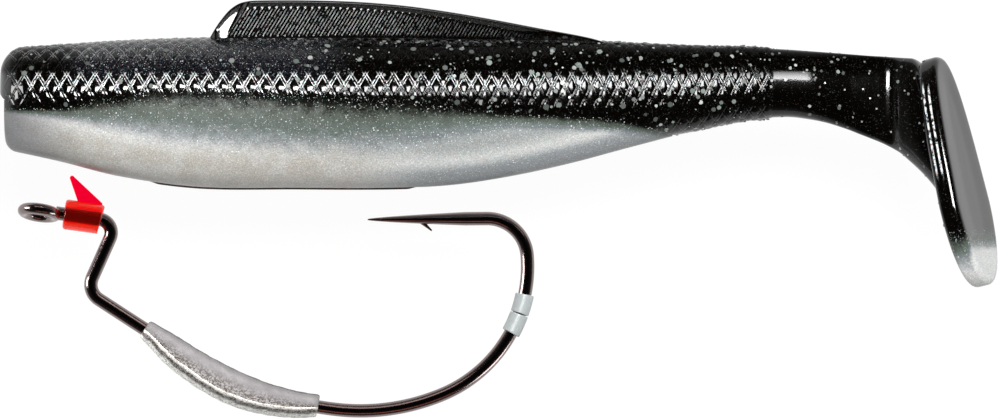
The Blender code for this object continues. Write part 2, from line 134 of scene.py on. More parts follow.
DULLING = (0.52, 0.87)           # how far the back loses its gloss: at the head, and from the fin on
RING_POINTS = 173                # round every ring of the back, the tail and the paddle
RING_STEP = 0.155                # from one ring to the next

# The tail's flex lines, and where one skin hands over to the next
TAIL_JOINTS = (73.7, 82.3, 90.8)
SEAMS = (78.0, 86.5)
SEAM_RINGS = 6                   # the stalk takes up the shape of the skin ahead over this many rings

FIN_PROFILE = (
    (21.3, 0.0), (21.7, 0.7), (22.4, 1.75), (23.4, 2.9), (24.6, 3.6), (26.5, 3.8), (34.5, 3.7), (40.6, 3.3),
    (45.7, 2.7), (50.8, 1.9), (55.9, 1.0), (60.0, 0.35), (61.5, 0.0),
)
FIN_SLOT = 0.9
FIN_ROOT_THICKNESS = 1.45
FIN_TOP_THICKNESS = (1.6, 1.85)  # in front and behind
FIN_SUNK = 0.9                   # the fin's root is buried this deep in the back
RIB_PITCH = 0.73
RIB_LEAN = math.tan(math.radians(32.0))
RIB_HEIGHT = 0.15
FIN_RIM = 0.8
FIN_EDGE_DULLING = 0.85          # how far the fin's top edge loses its gloss
FIN_MARGIN_SLOPE = 0.2           # the smooth margin in front of the ribs slopes in by this

PADDLE_KICK = math.radians(-21.0)
PADDLE_TILT = math.radians(13.4)
PADDLE_REACH = 6.95
PADDLE_THICKNESS = 2.1
PADDLE_HALF_WIDTH = 5.5
PADDLE_RISE = 15.4
PADDLE_DROP = 8.4
PADDLE_WIDEST_Y = 0.4
PADDLE_MIDDLE_Y = PADDLE_WIDEST_Y + (PADDLE_RISE - PADDLE_DROP) / 2 * math.cos(PADDLE_TILT)
PADDLE_TAPER = 1.6
PADDLE_EDGE_RADIUS = 0.6
PADDLE_HIGHLIGHT_LINES = (-0.175, 2.85)    # depth midway between the rim's painted highlight lines, and five times their gap
PADDLE_HIGHLIGHT_ENDS = ((2.5, 4.5), (13.2, 11.8))  # heights where the painted highlight lines fade in and out
PADDLE_DISH = 0.08
PEARL_TIP_Y = -2.9
# Web between wrist and plate: distance from the axis, top, bottom, half thickness, backward lean
WEB_SECTIONS = (
    (-4.3, 15.81, 8.02, 1.72, 0.0),
    (-2.3, 15.65, 7.25, 1.42, 0.0),
    (-1.0, 15.58, 6.72, 1.2, 0.0),
    (-0.3, 15.53, 6.38, 1.14, 0.0),
    (0.2, 15.5, 6.12, 1.2, 0.0),
    (1.0, 15.45, 5.6, 1.45, 0.01),
    (2.0, 15.4, 4.6, 1.8, 0.03),
)
WEB_POWER = 2.6
WEB_WEDGE = 0.08
FLARE_START = 2.0                # from here the web spreads out to the plate
FLARE_FULLNESS = 0.42
WRIST_BEND = 1.45                # the rest bend is spread this far each side of the wrist's axis

# ---------------------------------------------------------------- the hook's own measures

WIRE_RADIUS = 0.7
WIRE_START = (-45.4, -0.35)
WIRE_HEADING = -8.0
WIRE_BENDS = (
    (4.5,),
    (1.4, -106.0),
    (4.4,),
    (1.8, 81.0),
    (10.4,),
    (36.0, 26.5),
    (21.8, 29.0),
    (14.2, 72.0),
    (4.1, 86.0),
    (12.2,),
)
WIRE_STEP = 0.25
WIRE_SIDES = 24
POINT_TAPER = 10.0
POINT_RADIUS = 0.06
POINT_FULLNESS = 0.7
EYE_RADIUS = 1.65
EYE_WIRE_RADIUS = 0.6
EYE_DROP = 0.2
EYE_ROLL = math.radians(11.0)
BARB_ROOT = (5.4, 0.15, 0.32)    # back from the point, height over the wire's middle, radius
BARB_TIP = (6.55, 1.2, 0.08)
HOOK_HEIGHT = 2.18
HOOK_TILT = math.radians(2.7)
HOOK_TILT_HEADING = math.radians(-39.0)

COLLAR_SPAN = (0.85, 4.7)
COLLAR_RADIUS = 1.55
COLLAR_BORE = 0.8
SPIKE_OUTLINE = (
    (2.2, 1.2), (4.6, 1.2), (4.6, 1.62), (1.4, 3.88), (1.22, 4.02), (1.0, 3.98), (0.9, 3.75), (1.4, 2.75),
)
SPIKE_THICKNESS = 0.9
BAND_RADIUS = 0.96
BAND_BORE = 0.77
LOWER_BAND_SPAN = (61.75, 63.85)
UPPER_BAND_SPAN = (63.95, 65.95)
# Weight: distance along the wire, reach above the wire, reach below it, half thickness
WEIGHT_SECTIONS = (
    (19.6, 1.05, 1.05, 1.15),
    (20.6, 1.1, 1.2, 1.5),
    (23.0, 1.2, 1.8, 1.95),
    (26.5, 1.25, 2.2, 2.2),
    (30.0, 1.2, 2.4, 2.25),
    (33.2, 1.15, 2.2, 2.25),
    (36.2, 1.15, 1.75, 2.2),
    (39.2, 1.25, 1.1, 2.0),
)


# ---------------------------------------------------------------- general tools

def along(rows, at, column):
    """One column of a table at given first-column values, on a cubic curve through the rows."""
    table = np.array(rows, float)
    keys, values = table[:, 0], table[:, column]
    slopes = np.empty_like(values)
    slopes[1:-1] = (values[2:] - values[:-2]) / (keys[2:] - keys[:-2])
    slopes[0] = (values[1] - values[0]) / (keys[1] - keys[0])
    slopes[-1] = (values[-1] - values[-2]) / (keys[-1] - keys[-2])
    at = np.clip(np.asarray(at, float), keys[0], keys[-1])
    index = np.clip(np.searchsorted(keys, at, side="left") - 1, 0, len(keys) - 2)
    span = keys[index + 1] - keys[index]
    t = (at - keys[index]) / span
    return (
        (2 * t**3 - 3 * t**2 + 1) * values[index]
        + (t**3 - 2 * t**2 + t) * span * slopes[index]
        + (3 * t**2 - 2 * t**3) * values[index + 1]
        + (t**3 - t**2) * span * slopes[index + 1]
    )


def smooth(low, high, value):
    """0 below low, 1 above high, and a smooth step between."""
    t = np.clip((np.asarray(value, float) - low) / (high - low), 0.0, 1.0)
    return t * t * (3 - 2 * t)


def signed_power(value, power):
    return np.sign(value) * np.abs(value) ** power


def make_object(name, points, faces, material, attributes=None, sharp=55.0):
    """A closed mesh from points in millimetres; attributes hold one value or vector for each point."""
    mesh = bpy.data.meshes.new(name)
    mesh.from_pydata(np.asarray(points, float) * MM, [], faces)
    for key, values in (attributes or {}).items():
        kind, slot = ("FLOAT_VECTOR", "vector") if values.ndim == 2 else ("FLOAT", "value")
        layer = mesh.attributes.new(key, kind, "POINT")
        layer.data.foreach_set(slot, values.astype(np.float32).ravel())
    work = bmesh.new()
    work.from_mesh(mesh)
    bmesh.ops.remove_doubles(work, verts=work.verts, dist=1e-7)
    bmesh.ops.recalc_face_normals(work, faces=work.faces)
    work.to_mesh(mesh)
    work.free()
    mesh.shade_smooth()
    mesh.set_sharp_from_angle(angle=math.radians(sharp))
    mesh.materials.append(material)
    obj = bpy.data.objects.new(name, mesh)
    bpy.context.scene.collection.objects.link(obj)
    return obj


def loft_faces(count, size, closed=False):
    """Quads over count rings of size points each; closed joins the last ring to the first."""
    steps = count if closed else count - 1
    ring = np.arange(steps)[:, None] * size
    after = (np.arange(steps)[:, None] + 1) % count * size
    point = np.arange(size)[None, :]
    beside = (point + 1) % size
    quads = np.stack([ring + point, ring + beside, after + beside, after + point], axis=-1)
    return [tuple(quad) for quad in quads.reshape(-1, 4).tolist()]


def cap_rings(ring, shares):
    """Copies of a ring drawn in towards its own middle, which close the end of a loft."""
    middle = ring.mean(axis=0)
    return [middle + (ring - middle) * share for share in shares]


CAP_SHARES = (0.85, 0.55, 0.25, 0.0)


# ---------------------------------------------------------------- node materials

class Finish:
    """A material and a few short ways to add nodes to it."""

    def __init__(self, name):
        self.material = bpy.data.materials.new(name)
        self.material.use_nodes = True
        self.tree = self.material.node_tree
        self.shader = self.tree.nodes["Principled BSDF"]

    def put(self, socket, value):
        if isinstance(value, bpy.types.NodeSocket):
            self.tree.links.new(value, socket)
        else:
            socket.default_value = value

    def fill(self, node, **values):
        """Sets a node's sockets; an underscore in a name stands for a space."""
        for key, value in values.items():
            self.put(node.inputs[key.replace("_", " ")], value)
        return node

    def add(self, kind, **values):
        return self.fill(self.tree.nodes.new(kind), **values)

    def set(self, **values):
        self.fill(self.shader, **values)

    def attribute(self, name, vector=False):
        node = self.add("ShaderNodeAttribute")
        node.attribute_name = name
        return node.outputs["Vector" if vector else "Fac"]

    def math(self, operation, *values):
        node = self.add("ShaderNodeMath")
        node.operation = operation
        for socket, value in zip(node.inputs, values):
            self.put(socket, value)
        return node.outputs[0]

    def times(self, product, *others):
        for other in others:
            product = self.math("MULTIPLY", product, other)
        return product

    def off(self, value, middle):
        """How far a value is from a middle one, either way."""
        return self.math("ABSOLUTE", self.math("SUBTRACT", value, middle))

    def mix(self, factor, first, second, blend="MIX"):
        node = self.add("ShaderNodeMix")
        node.data_type = "RGBA"
        node.blend_type = blend
        for key, colour in (("A", first), ("B", second)):
            self.put(node.inputs[key], colour if isinstance(colour, bpy.types.NodeSocket) else (*colour, 1.0))
        return self.fill(node, Factor=factor).outputs["Result"]

    def ramp(self, factor, stops):
        node = self.add("ShaderNodeValToRGB", Fac=factor)
        fill_ramp(node, stops)
        return node.outputs["Color"]

    def spread(self, value, low, high, to_low=0.0, to_high=1.0, shape="SMOOTHSTEP"):
        """Maps low..high onto to_low..to_high, clamped."""
        node = self.add("ShaderNodeMapRange")
        node.interpolation_type = shape
        self.fill(node, Value=value, From_Min=low, From_Max=high, To_Min=to_low, To_Max=to_high)
        return node.outputs["Result"]

    def noise(self, place, scale, detail=3.0, roughness=0.5):
        node = self.add("ShaderNodeTexNoise", Vector=place, Scale=scale, Detail=detail, Roughness=roughness)
        return node.outputs["Fac"]

    def swing(self, place, scale, size):
        """Noise that swings by up to half of size each way."""
        return self.times(self.math("SUBTRACT", self.noise(place, scale), 0.5), size)

    def specks(self, place, scale, share, size):
        """Round dots on a share of the cells of a random grid: up to 1 in a dot, 0 outside."""
        cells = self.add("ShaderNodeTexVoronoi", Vector=place, Scale=scale)
        split = self.add("ShaderNodeSeparateColor", Color=cells.outputs["Color"])
        chosen = self.math("LESS_THAN", split.outputs["Red"], share)
        inside = self.math("LESS_THAN", cells.outputs["Distance"], self.times(split.outputs["Green"], size))
        return self.times(chosen, inside, split.outputs["Blue"])

    def bump(self, height, distance, strength=1.0, after=None):
        node = self.add("ShaderNodeBump", Height=height, Distance=distance * MM, Strength=strength)
        if after is not None:
            self.fill(node, Normal=after)
        return node.outputs["Normal"]


def fill_ramp(node, stops):
    """Gives a colour ramp its stops, each a place and a colour."""
    elements = node.color_ramp.elements
    while len(elements) < len(stops):
        elements.new(0.5)
    for element, (place, colour) in zip(elements, stops):
        element.position = place
        element.color = (*colour, 1.0)


def screen(red, green, blue):
    """A colour as it looks on a screen, 0..255, in the renderer's linear scale."""
    linear = []
    for value in (red, green, blue):
        share = value / 255
        linear.append(share / 12.92 if share <= 0.04045 else ((share + 0.055) / 1.055) ** 2.4)
    return tuple(linear)


def scaled(colour, factor):
    return tuple(value * factor for value in colour)


# Colour of the painted reflection on the shoulder
SHOULDER_REFLECTION_COLOUR = (0.022, 0.023, 0.034)
GLINT_COLOUR = (0.8, 0.86, 0.86)
# Colour of the painted highlight lines on the scale ridges, fin ribs and paddle rim
RIDGE_HIGHLIGHT_COLOUR = (0.66, 0.68, 0.68)
# Colour of the painted shade on the pearl higher up the flank, towards the tail
REAR_PEARL_SHADE = (0.05, 0.07, 0.07)
WARM_PEARL = screen(190, 186, 178)
# Colour of the painted blue-grey shade along the belly's lower edge
LOWER_EDGE_SHADE_PEARL = screen(132, 140, 146)
NOSE_PEARL = screen(112, 116, 126)
PEARL_SHARE = 0.655              # how much of its seen colour the pearl owes to its own colour
# From dark to pearl: place in the tone's range, colour as seen, and the share that is the plastic's own
TONE_STOPS = (
    (0.25, screen(42, 44, 38), 0.36),
    (0.33, screen(80, 88, 79), PEARL_SHARE * 0.56),
    (0.45, screen(106, 118, 107), PEARL_SHARE * 0.6),
    (0.6, screen(124, 136, 130), PEARL_SHARE * 0.67),
    (0.74, screen(156, 162, 163), PEARL_SHARE * 0.88),
    (0.9, screen(190, 192, 193), PEARL_SHARE * 1.28),
    (1.0, screen(222, 223, 221), PEARL_SHARE * 1.15),
)


def bait_finish():
    """Soft plastic: near-black on the back, thinning through grey-green to a speckled pearl belly."""
    finish = Finish("bait_plastic")
    place = finish.attribute("rest", vector=True)
    haze = finish.attribute("haze")
    wobble = finish.math("ADD", finish.swing(place, 0.9, 0.5), finish.swing(place, 5.0, 0.45))
    tone = finish.math("ADD", finish.attribute("depth"), wobble)
    tone = finish.spread(tone, -0.5, 1.6, shape="LINEAR")
    pearl_only = finish.spread(tone, 0.6, 0.8)

    colour = flank_colour(finish, place, tone, pearl_only)

    # The pearl shimmers from grain to grain
    shimmer = finish.spread(finish.noise(place, 7.0, 2.0, 0.7), 0.36, 0.64, 0.8, 1.22)
    colour = finish.mix(finish.spread(tone, 0.25, 0.45), colour, shimmer, blend="MULTIPLY")

    # Painted dim blue reflection on the shoulder, broken into fine grains
    reflection_grain = finish.spread(finish.noise(place, 6.0, 4.0, 0.8), 0.44, 0.68)
    colour = finish.mix(finish.times(haze, reflection_grain, 0.85), colour, SHOULDER_REFLECTION_COLOUR, blend="ADD")

    colour = finish.mix(glints(finish, place, tone, haze), colour, GLINT_COLOUR)
    colour = finish.mix(painted_ridge_highlights(finish, place, tone), colour, RIDGE_HIGHLIGHT_COLOUR)

    # The pearl turns darker towards the nose
    split = finish.add("ShaderNodeSeparateXYZ", Vector=place)
    clear = finish.spread(split.outputs["X"], NOSE_X + 1.0, NOSE_X + 10.0, 0.68, 0.0)
    colour = finish.mix(finish.times(clear, pearl_only), colour, scaled(NOSE_PEARL, PEARL_SHARE))

    normal = finish.bump(finish.noise(place, 5.0, 2.0), 0.008, 0.5)
    normal = finish.bump(scale_ridges(finish), 0.05, 1.0, after=normal)
    finish.set(Base_Color=colour, Roughness=finish.spread(tone, 0.17, 0.5, 0.1, 0.4), Normal=normal, IOR=1.5)
    finish.set(Specular_IOR_Level=finish.times(finish.attribute("gloss"), 0.5))
    finish.set(Subsurface_Weight=0.12, Subsurface_Scale=0.0006)
    return finish.material


def flank_colour(finish, place, tone, pearl_only):
    """Black to pearl by tone, then warm low on the flank; towards the tail, painted blue-grey shade along the
    lower edge and painted shade higher up the pearl.
    """
    lower = finish.attribute("lower")
    rear = finish.attribute("rear")
    stops = [(0.0, (0.0009, 0.0007, 0.0004)), (0.17, (0.002, 0.002, 0.0015))]
    stops += [(at, scaled(seen, share)) for at, seen, share in TONE_STOPS]
    colour = finish.ramp(tone, stops)

    cloud = finish.spread(finish.noise(place, 0.35, 2.0), 0.3, 0.6, 0.5, 1.0)
    warm = finish.times(finish.spread(lower, 5.2, 2.6), finish.spread(rear, 0.9, 0.2), cloud, pearl_only)
    colour = finish.mix(warm, colour, scaled(WARM_PEARL, PEARL_SHARE * 1.22))
    # Painted shade along the belly's lower edge, towards the tail
    lower_edge_shade = finish.times(finish.spread(lower, 2.6, 1.2), finish.spread(rear, 0.35, 1.0), pearl_only, 0.75)
    colour = finish.mix(lower_edge_shade, colour, scaled(LOWER_EDGE_SHADE_PEARL, PEARL_SHARE))
    # Painted shade on the pearl higher up the flank, towards the tail
    thin = finish.times(finish.spread(lower, 1.6, 4.0), rear, 0.6, pearl_only)
    return finish.mix(thin, colour, REAR_PEARL_SHADE)


def glints(finish, place, tone, haze):
    """Fine glitter: dense in the pearl and where the dark ends, thin in the dark."""
    coarse, tiny = finish.specks(place, 4.6, 0.42, 0.34), finish.specks(place, 9.0, 0.42, 0.42)
    amount = finish.math("MULTIPLY_ADD", haze, 0.42, finish.spread(tone, 0.15, 0.6, 0.04, 0.85))
    edge = finish.times(finish.spread(tone, 0.08, 0.16), finish.spread(tone, 0.36, 0.26), 0.7)
    return finish.times(finish.math("MAXIMUM", coarse, tiny), finish.math("MAXIMUM", amount, edge))


def painted_ridge_highlights(finish, place, tone):
    """Painted highlight lines along both sides of each ridge, in the band where the flank turns up."""
    lines = []
    for name in ("scale_a", "scale_b"):
        away = finish.off(finish.math("FRACT", finish.attribute(name)), 0.5)
        lines.append(finish.spread(finish.off(away, 0.4), 0.05, 0.018))
    broken = finish.spread(finish.noise(place, 2.6, 3.0, 0.7), 0.38, 0.56)
    line = finish.times(finish.math("MAXIMUM", *lines), finish.attribute("band"), finish.attribute("scaled"))
    return finish.times(line, broken, finish.spread(tone, 0.24, 0.12))


def scale_ridges(finish):
    """Height of the thin ridges between the diamonds, from how far a point is through its diamond."""
    heights = []
    for name in ("scale_a", "scale_b"):
        away = finish.off(finish.math("FRACT", finish.attribute(name)), 0.5)
        heights.append(finish.spread(away, 0.375, 0.5))
    return finish.times(finish.math("MAXIMUM", *heights), finish.attribute("scaled"))


def flake_finish():
    """Glitter: silver and pale green hexagons, dimmer the deeper they sit in the plastic."""
    finish = Finish("glitter")
    shine = finish.attribute("shine")
    hue = finish.attribute("hue")
    tint = finish.mix(hue, (0.6, 0.62, 0.61), (0.3, 0.37, 0.33))
    colour = finish.mix(shine, (0.02, 0.025, 0.022), tint)
    finish.set(Base_Color=colour, Roughness=finish.spread(shine, 0.0, 1.0, 0.5, 0.22), Metallic=0.15)
    return finish.material


def wire_finish():
    """Black nickel over bright wire, with faint drawing marks."""
    finish = Finish("black_nickel_wire")
    place = finish.attribute("rest", vector=True)
    mottle = finish.noise(place, 2.5, 4.0, 0.6)
    colour = finish.mix(mottle, (0.19, 0.155, 0.15), (0.27, 0.22, 0.215))
    rough = finish.spread(finish.noise(place, 7.0, 5.0, 0.7), 0.3, 0.7, 0.1, 0.2)
    finish.set(Base_Color=colour, Metallic=1.0, Roughness=rough)
    finish.set(Normal=finish.bump(finish.noise(place, 14.0, 3.0), 0.006, 0.5))
    return finish.material


def lead_finish():
    """Cast lead: matte pinkish grey and pitted, with brown tarnish above a painted highlight along the ridge,
    painted shade in the crease below it and a painted highlight along the bottom edge.
    """
    finish = Finish("cast_lead")
    place = finish.attribute("rest", vector=True)
    blotch = finish.noise(place, 0.8, 5.0, 0.65)
    grit = finish.noise(place, 4.5, 4.0, 0.75)
    drift = finish.times(finish.math("SUBTRACT", blotch, 0.5), 0.12)
    girth = finish.math("ADD", finish.attribute("girth"), drift)

    # Stripes along the weight, from its top to its bottom edge; the grit breaks each of them up
    tarnish = finish.times(finish.spread(grit, 0.45, 0.54), finish.spread(girth, 0.24, 0.62))
    # The ridge stripe is a painted highlight, the crease stripe under it painted shade, and the bottom stripe
    # a painted highlight
    lead_ridge_highlight = finish.times(finish.spread(girth, 0.66, 0.7), finish.spread(girth, 0.79, 0.75),
                        finish.spread(grit, 0.38, 0.5))
    crease_shade = finish.times(finish.spread(girth, 0.77, 0.81), finish.spread(girth, 0.87, 0.83),
                          finish.spread(grit, 0.42, 0.56))
    bottom_edge_highlight = finish.times(finish.spread(girth, 0.84, 0.9), finish.spread(grit, 0.35, 0.55))
    stripes = (
        (tarnish, (0.06, 0.045, 0.034)),
        (lead_ridge_highlight, (0.78, 0.75, 0.68)),
        (crease_shade, (0.05, 0.045, 0.035)),
        (bottom_edge_highlight, (0.9, 0.9, 0.85)),
        (finish.spread(girth, 0.1, 0.03), (0.1, 0.09, 0.09)),
        (finish.times(finish.specks(place, 3.0, 0.35, 0.3), 0.6), (0.1, 0.085, 0.08)),
    )
    colour = finish.mix(blotch, (0.2, 0.187, 0.19), (0.33, 0.315, 0.32))
    for share, tint in stripes:
        colour = finish.mix(share, colour, tint)
    rough = finish.spread(lead_ridge_highlight, 0.0, 1.0, 0.62, 0.35)
    finish.set(Base_Color=colour, Metallic=0.35, Roughness=rough, Normal=finish.bump(grit, 0.035, 0.8))
    return finish.material


def clear_finish(name, colour, roughness, transmission, scale, painted_glow=0.0):
    """Clear or milky moulded plastic with faint flow marks; a little glow can be painted on as painted light.
    """
    finish = Finish(name)
    place = finish.attribute("rest", vector=True)
    flow = finish.noise(place, scale, 3.0, 0.6)
    tint = finish.mix(flow, scaled(colour, 0.86), colour)
    finish.set(Base_Color=tint, Roughness=roughness, IOR=1.45, Transmission_Weight=transmission)
    finish.set(Emission_Color=(*colour, 1.0), Emission_Strength=painted_glow)
    finish.set(Normal=finish.bump(flow, 0.02, 0.4))
    return finish.material


# ---------------------------------------------------------------- the body's surface

def seam_height(distance):
    """Height where the two plastics meet; at the nose the dark one is rounded up to its front."""
    rest = np.clip(1 - np.asarray(distance, float) / LOBE_REACH, 0.0, 1.0)
    return along(LAMINATION, distance, 1) + LOBE_RISE * (1 - np.sqrt(1 - rest**2))


def corner_drop(distance, radius):
    """How far a corner rounded to this radius falls short of the full outline near its end face."""
    short = np.clip(radius - distance, 0.0, None)
    return radius - np.sqrt(np.clip(radius**2 - short**2, 0.0, None))


def flank(distance, chin=False):
    """Half a cross-section from the back's middle to the belly's: (arc length, height, thickness)."""
    chin_distance = max(distance - CHIN_SETBACK, 0.0) if chin else distance
    top = along(BODY_PROFILE, distance, 1) - corner_drop(distance, NOSE_TOP_RADIUS)
    bottom = along(BODY_PROFILE, distance, 2) + corner_drop(chin_distance, NOSE_CHIN_RADIUS)
    half = along(BODY_PROFILE, distance, 3) - corner_drop(distance, NOSE_SIDE_RADIUS)
    turn = np.linspace(0.0, math.pi, 361)
    waist, upper_power = (float(along(WAIST, distance, column)) for column in (1, 2))
    power = np.where(turn < math.pi / 2, upper_power, SECTION_POWER)
    reach = np.where(turn < math.pi / 2, top - waist, waist - bottom)
    y = waist + reach * signed_power(np.cos(turn), 2 / power)
    z = half * np.abs(np.sin(turn)) ** (2 / power)
    arc = np.concatenate([[0.0], np.cumsum(np.hypot(np.diff(y), np.diff(z)))])
    return arc, y, z


def scale_phase(distance):
    """How many diamonds lie between the nose and a distance from it."""
    near, far = SCALE_PITCH
    start, end = SCALE_PITCH_CHANGES
    fine = np.linspace(0.0, BAIT_LENGTH, 600)
    pitch = near + (far - near) * smooth(start, end, fine)
    count = np.concatenate([[0.0], np.cumsum(np.diff(fine) / ((pitch[1:] + pitch[:-1]) / 2))])
    return np.interp(distance, fine, count)


def scales(distance, arc, height, row):
    """(relief height, place through the diamond both ways, fade) of the moulded scales."""
    turns = scale_phase(distance) - scale_phase(FIRST_SCALE)
    below = arc - row
    a = turns + below / SCALE_HEIGHT
    b = turns - below / SCALE_HEIGHT
    from_a, from_b = (a % 1.0) - 0.5, (b % 1.0) - 0.5
    sideways, upright = np.abs(from_a + from_b), np.abs(from_a - from_b)
    lens = 1 - (sideways / np.maximum(1 - upright, 0.05)) ** 2
    dome = np.clip(lens, 0.0, 1.0) * (1 - upright**4)
    spacing = 1 / math.hypot(1 / SCALE_PITCH[1], 1 / SCALE_HEIGHT)
    edge = (0.5 - np.maximum(np.abs(from_a), np.abs(from_b))) * spacing
    ridge = np.exp(-((edge / SCALE_RIDGE_WIDTH) ** 2))
    lowest = along(DARK_ENDS, distance, 1) - 0.3
    fade = smooth(lowest, lowest + 1.6, height)
    fade = fade * smooth(0.0, 1.4, distance) * smooth(SCALES_END, SCALES_END - 0.8, distance)
    swell = SCALE_DOME[0] + (SCALE_DOME[1] - SCALE_DOME[0]) * smooth(*SCALE_DOME_CHANGES, distance)
    return (swell * dome + SCALE_RIDGE * ridge) * fade, a, b, fade


def stations(start, end, step):
    return np.linspace(start, end, max(2, round((end - start) / step) + 1))


def nose_stations(start, reach, count):
    """Distances bunched towards the nose, so that its rounding is even."""
    turn = np.linspace(0.0, math.pi / 2, count)
    return start + reach * (1 - np.cos(turn))


def body_facts(distance, height, bottom):
    """The values that the plastic's material reads, for points at one distance from the nose."""
    dark, pearl = along(DARK_ENDS, distance, 1), along(PEARL_STARTS, distance, 1)
    still = np.zeros_like(height)
    upper = smooth(13.0, 14.2, height)
    dulled = DULLING[0] + (DULLING[1] - DULLING[0]) * smooth(31.0, 37.0, distance)
    dulled = dulled + (1 - dulled) * 0.8 * smooth(10.0, 6.0, distance)
    gloss = (1 - dulled * upper) * (1 - 0.45 * smooth(30.0, 36.0, distance))
    # Where the painted highlight lines show: the band where the flank turns up, and faintly along the top
    # near the head
    band = smooth(12.0, 12.5, height) * smooth(14.0, 13.5, height) * smooth(1.0, 4.0, distance)
    band = band + 0.18 * smooth(14.9, 15.8, height) * smooth(26.0, 14.0, distance)
    return {
        "depth": (dark - height) / max(dark - pearl, 0.3),
        "lower": height - bottom,
        # Where the painted reflection lies on the shoulder; the glitter is denser there too
        "haze": smooth(6.0, 10.0, distance) * smooth(37.0, 30.0, distance) * smooth(12.6, 14.2, height),
        "rear": still + smooth(26.0, 48.0, distance),
        "gloss": gloss * (1 - 0.4 * smooth(82.5, 83.5, distance)),
        "band": band * (1 - 0.3 * smooth(50.0, 60.0, distance)),
        "scale_a": still + 0.5,
        "scale_b": still + 0.5,
        "scaled": still,
    }


class Skin:
    """Rings of points with the values that go with them, which become one closed piece."""

    def __init__(self):
        self.rings = []
        self.facts = []

    def add(self, ring, facts):
        self.rings.append(np.asarray(ring, float))
        self.facts.append(facts)

    def close(self):
        """Draws both ends in to a point."""
        first, last = (cap_rings(self.rings[end], CAP_SHARES) for end in (0, -1))
        self.facts = [self.facts[0]] * len(first) + self.facts + [self.facts[-1]] * len(last)
        self.rings = first[::-1] + self.rings + last

    def grid(self):
        return np.array(self.rings)

    def build(self, name, material, sharp=55.0):
        """The closed piece, and the grid of its rings as they were before the ends were closed."""
        open_grid = self.grid()
        self.close()
        grid = self.grid()
        facts = {key: np.concatenate([row[key] for row in self.facts]) for key in self.facts[0]}
        facts["rest"] = grid.reshape(-1, 3)
        faces = loft_faces(grid.shape[0], grid.shape[1])
        return make_object(name, facts["rest"], faces, material, facts, sharp), open_grid


def ring_at(distance, height, sideways):
    """Points of one section, none of them below the table."""
    x = np.full(len(height), NOSE_X + distance)
    return np.stack([x, height, np.maximum(MID_Z + sideways, 0.0)], axis=-1)


def upper_ring(distance):
    """The dark back across one section, from the seam on the lower flank over the back to the other."""
    arc, y, z = flank(distance)
    end = float(np.interp(-seam_height(distance), -y, arc))
    if distance >= LAMINATION[-1][0]:
        end = arc[-1]
    place = np.linspace(-end, end, RING_POINTS)
    away = np.abs(place)
    height = np.interp(away, arc, y)
    half = np.sign(place) * np.interp(away, arc, z)
    tangent_y = np.interp(away, arc, np.gradient(y, arc))
    tangent_z = np.interp(away, arc, np.gradient(z, arc))
    row = np.interp(-SCALE_ROW, -y, arc)
    relief, a, b, fade = scales(distance, away, height, row)
    facts = body_facts(distance, height, y[-1])
    facts.update(scale_a=a, scale_b=b, scaled=fade)
    return ring_at(distance, height + tangent_z * relief, half - np.sign(place) * tangent_y * relief), facts


def slit_opening(distance):
    """How open the belly slit is, from 0 to 1."""
    start, end = BELLY_SLIT[:2]
    return float(smooth(start, start + 1.2, distance) * smooth(end, end - 1.2, distance))


def lower_ring(distance, count):
    """The pearl belly across one section, with its slit along the underside."""
    arc, y, z = flank(distance, chin=True)
    end = float(np.interp(-seam_height(distance), -y, arc))
    width, depth, droop = BELLY_SLIT[2:]
    opening = slit_opening(distance)
    total = arc[-1]
    lip = min(width / 2, (total - end) * 0.45)
    side = np.linspace(end, total - lip, count)
    slot = total - lip * SLIT_ACROSS
    away = np.concatenate([side, slot, slot[::-1], side[::-1]])
    cut = np.concatenate([np.zeros(count), SLIT_FALL, SLIT_FALL[::-1], np.zeros(count)])
    sign = np.where(np.arange(len(away)) < len(away) / 2, 1.0, -1.0)
    height = np.interp(away, arc, y)
    hanging = droop * opening * smooth(3.0, 0.2, total - away) * (sign < 0)
    ring = ring_at(distance, height + cut * depth * opening - hanging, sign * np.interp(away, arc, z))
    return ring, body_facts(distance, height, y[-1])


def build_bait(material):
    """The back, the tail's root and the belly, with the grids that the glitter is laid on."""
    front = np.concatenate([nose_stations(0.0, 3.2, 22), stations(3.2, SEAMS[0], RING_STEP)[1:]])
    back_skin, flakes_front = upper_skin("back_skin", front, material)
    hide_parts("back_laminate")

    belly = Skin()
    ends = LAMINATION[-1][0] - 1.45
    rows = [CHIN_SETBACK + share * CHIN_LIP for share in (0.0, 0.3, 1.0)]
    rows = np.concatenate([rows, front[(front > CHIN_SETBACK + 1.5 * CHIN_LIP) & (front < ends)]])
    for distance in rows:
        ring, facts = lower_ring(distance, 34)
        inset = corner_drop(distance - CHIN_SETBACK, CHIN_LIP)
        middle = ring.mean(axis=0)
        belly.add(middle + (ring - middle) * (1 - inset / 6.0), facts)
    belly_skin, _ = belly.build("belly_skin", material)
    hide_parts("belly_laminate")
    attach(belly_skin, "bait")

    stalk_skin, flakes_middle = upper_skin("tail_skin", stations(SEAMS[0], SEAMS[1], RING_STEP), material)
    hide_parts("tail_root")
    return back_skin, stalk_skin, flakes_front, flakes_middle


def upper_skin(name, distances, material):
    skin = Skin()
    for distance in distances:
        skin.add(*upper_ring(distance))
    return skin.build(name, material)


# ---------------------------------------------------------------- wrist and paddle

